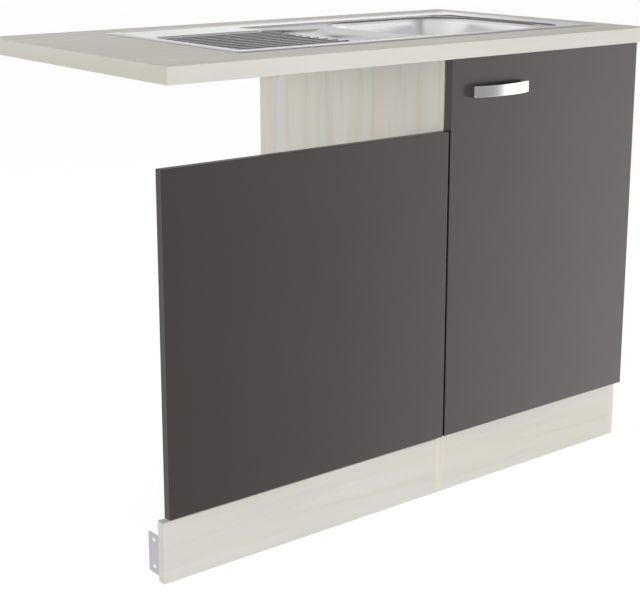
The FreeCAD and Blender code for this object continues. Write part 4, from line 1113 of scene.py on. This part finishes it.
def add_world():
    """Pale room: dim in front and overhead, a soft glow on the left, and a window front right.

    The window is strong below the horizon, for the fronts, and milder above it, for the bowl.
    """
    world = bpy.data.worlds.new("studio")
    bpy.context.scene.world = world
    world.use_nodes = True
    wires = Tree(world.node_tree)
    world.node_tree.nodes.clear()
    direction = wires.add("ShaderNodeTexCoord").outputs["Generated"]
    split = wires.add("ShaderNodeSeparateXYZ")
    wires.link(direction, split.inputs[0])
    rise = split.outputs["Z"]
    bearing = wires.math("ARCTAN2", split.outputs["X"], split.outputs["Y"])

    def between(start, full):
        """0 at the start bearing, 1 at the full one; degrees from +Y towards +X."""
        return wires.spread(bearing, math.radians(start), math.radians(full))

    def both(first, second):
        return wires.math("MULTIPLY", first, second)
    paler = wires.spread(wires.toward(direction, PALE_DIRECTION), -0.35, 0.5)
    level = wires.mix(paler, grey(ROOM_FRONT), grey(ROOM_BACK))
    level = wires.mix(between(37, 31), level, grey(ROOM_BACK_LEFT))
    level = wires.mix(both(between(42.5, 47), between(85, 60)), level, grey(ROOM_BACK_RIGHT))
    glow = wires.spread(wires.toward(direction, LEFT_DIRECTION), 0.5, 0.94)
    level = wires.mix(glow, level, grey(LEFT_GLOW))
    room = wires.mix(wires.spread(rise, 0.18, 0.55), level, grey(CEILING))
    just_above = both(wires.spread(rise, 0.34, 0.14), wires.spread(rise, -0.06, 0.02))
    upper_window = both(both(between(170, 128), between(60, 80)), just_above)
    room = wires.mix(upper_window, room, grey(UPPER_WINDOW))
    below = wires.spread(rise, 0.04, -0.06)
    lower_window = both(both(between(142, 125), between(75, 95)), below)
    lit = wires.add("ShaderNodeBackground")
    wires.link(wires.mix(lower_window, room, grey(LOWER_WINDOW)), lit.inputs["Color"])
    seen = wires.add("ShaderNodeBackground")
    seen.inputs["Color"].default_value = grey(1)
    seen.inputs["Strength"].default_value = 1.0
    blend = wires.add("ShaderNodeMixShader")
    wires.link(wires.add("ShaderNodeLightPath").outputs["Is Camera Ray"], blend.inputs[0])
    wires.link(lit.outputs[0], blend.inputs[1])
    wires.link(seen.outputs[0], blend.inputs[2])
    put = wires.add("ShaderNodeOutputWorld")
    wires.link(blend.outputs[0], put.inputs[0])


def add_floor():
    """Pale floor that keeps the unit's shadow faintly."""
    mesh = bpy.data.meshes.new("studio_floor")
    corners = [(x * FLOOR_REACH, y * FLOOR_REACH, 0) for x, y in ((-1, -1), (1, -1), (1, 1), (-1, 1))]
    mesh.from_pydata(corners, [], [(0, 1, 2, 3)])
    floor = put_in_scene("studio_floor", mesh)
    material, wires, shader = new_material("studio_floor")
    shader.inputs["Base Color"].default_value = grey(FLOOR_TONE)
    shader.inputs["Roughness"].default_value = 0.9
    glow = wires.add("ShaderNodeEmission")
    glow.inputs["Strength"].default_value = FLOOR_GLOW
    path = wires.add("ShaderNodeLightPath")
    blend = wires.add("ShaderNodeMixShader")
    wires.link(wires.math("MULTIPLY", path.outputs["Is Camera Ray"], FLOOR_GLOW_SHARE), blend.inputs[0])
    wires.link(shader.outputs[0], blend.inputs[1])
    wires.link(glow.outputs[0], blend.inputs[2])
    mirrored = wires.add("ShaderNodeMixShader")
    wires.link(path.outputs["Is Glossy Ray"], mirrored.inputs[0])
    wires.link(blend.outputs[0], mirrored.inputs[1])
    wires.link(wires.add("ShaderNodeBsdfTransparent").outputs[0], mirrored.inputs[2])
    wires.link(mirrored.outputs[0], material.node_tree.nodes["Material Output"].inputs["Surface"])
    mesh.materials.append(material)


add_camera()
add_world()
add_floor()
add_softbox("left_softbox", (-3.4, 0.1, 0.7), (0, 0, 0.5), 2.4, 1.4, 32)
add_softbox("front_softbox", (0.4, -4.0, 0.8), (0.2, 0, 0.4), 4.0, 1.6, 86)
add_softbox("top_softbox", (-0.4, 0.4, 3.6), (0, 0, 0.8), 1.6, 1.6, 38)
bpy.context.scene.view_settings.view_transform = "Standard"
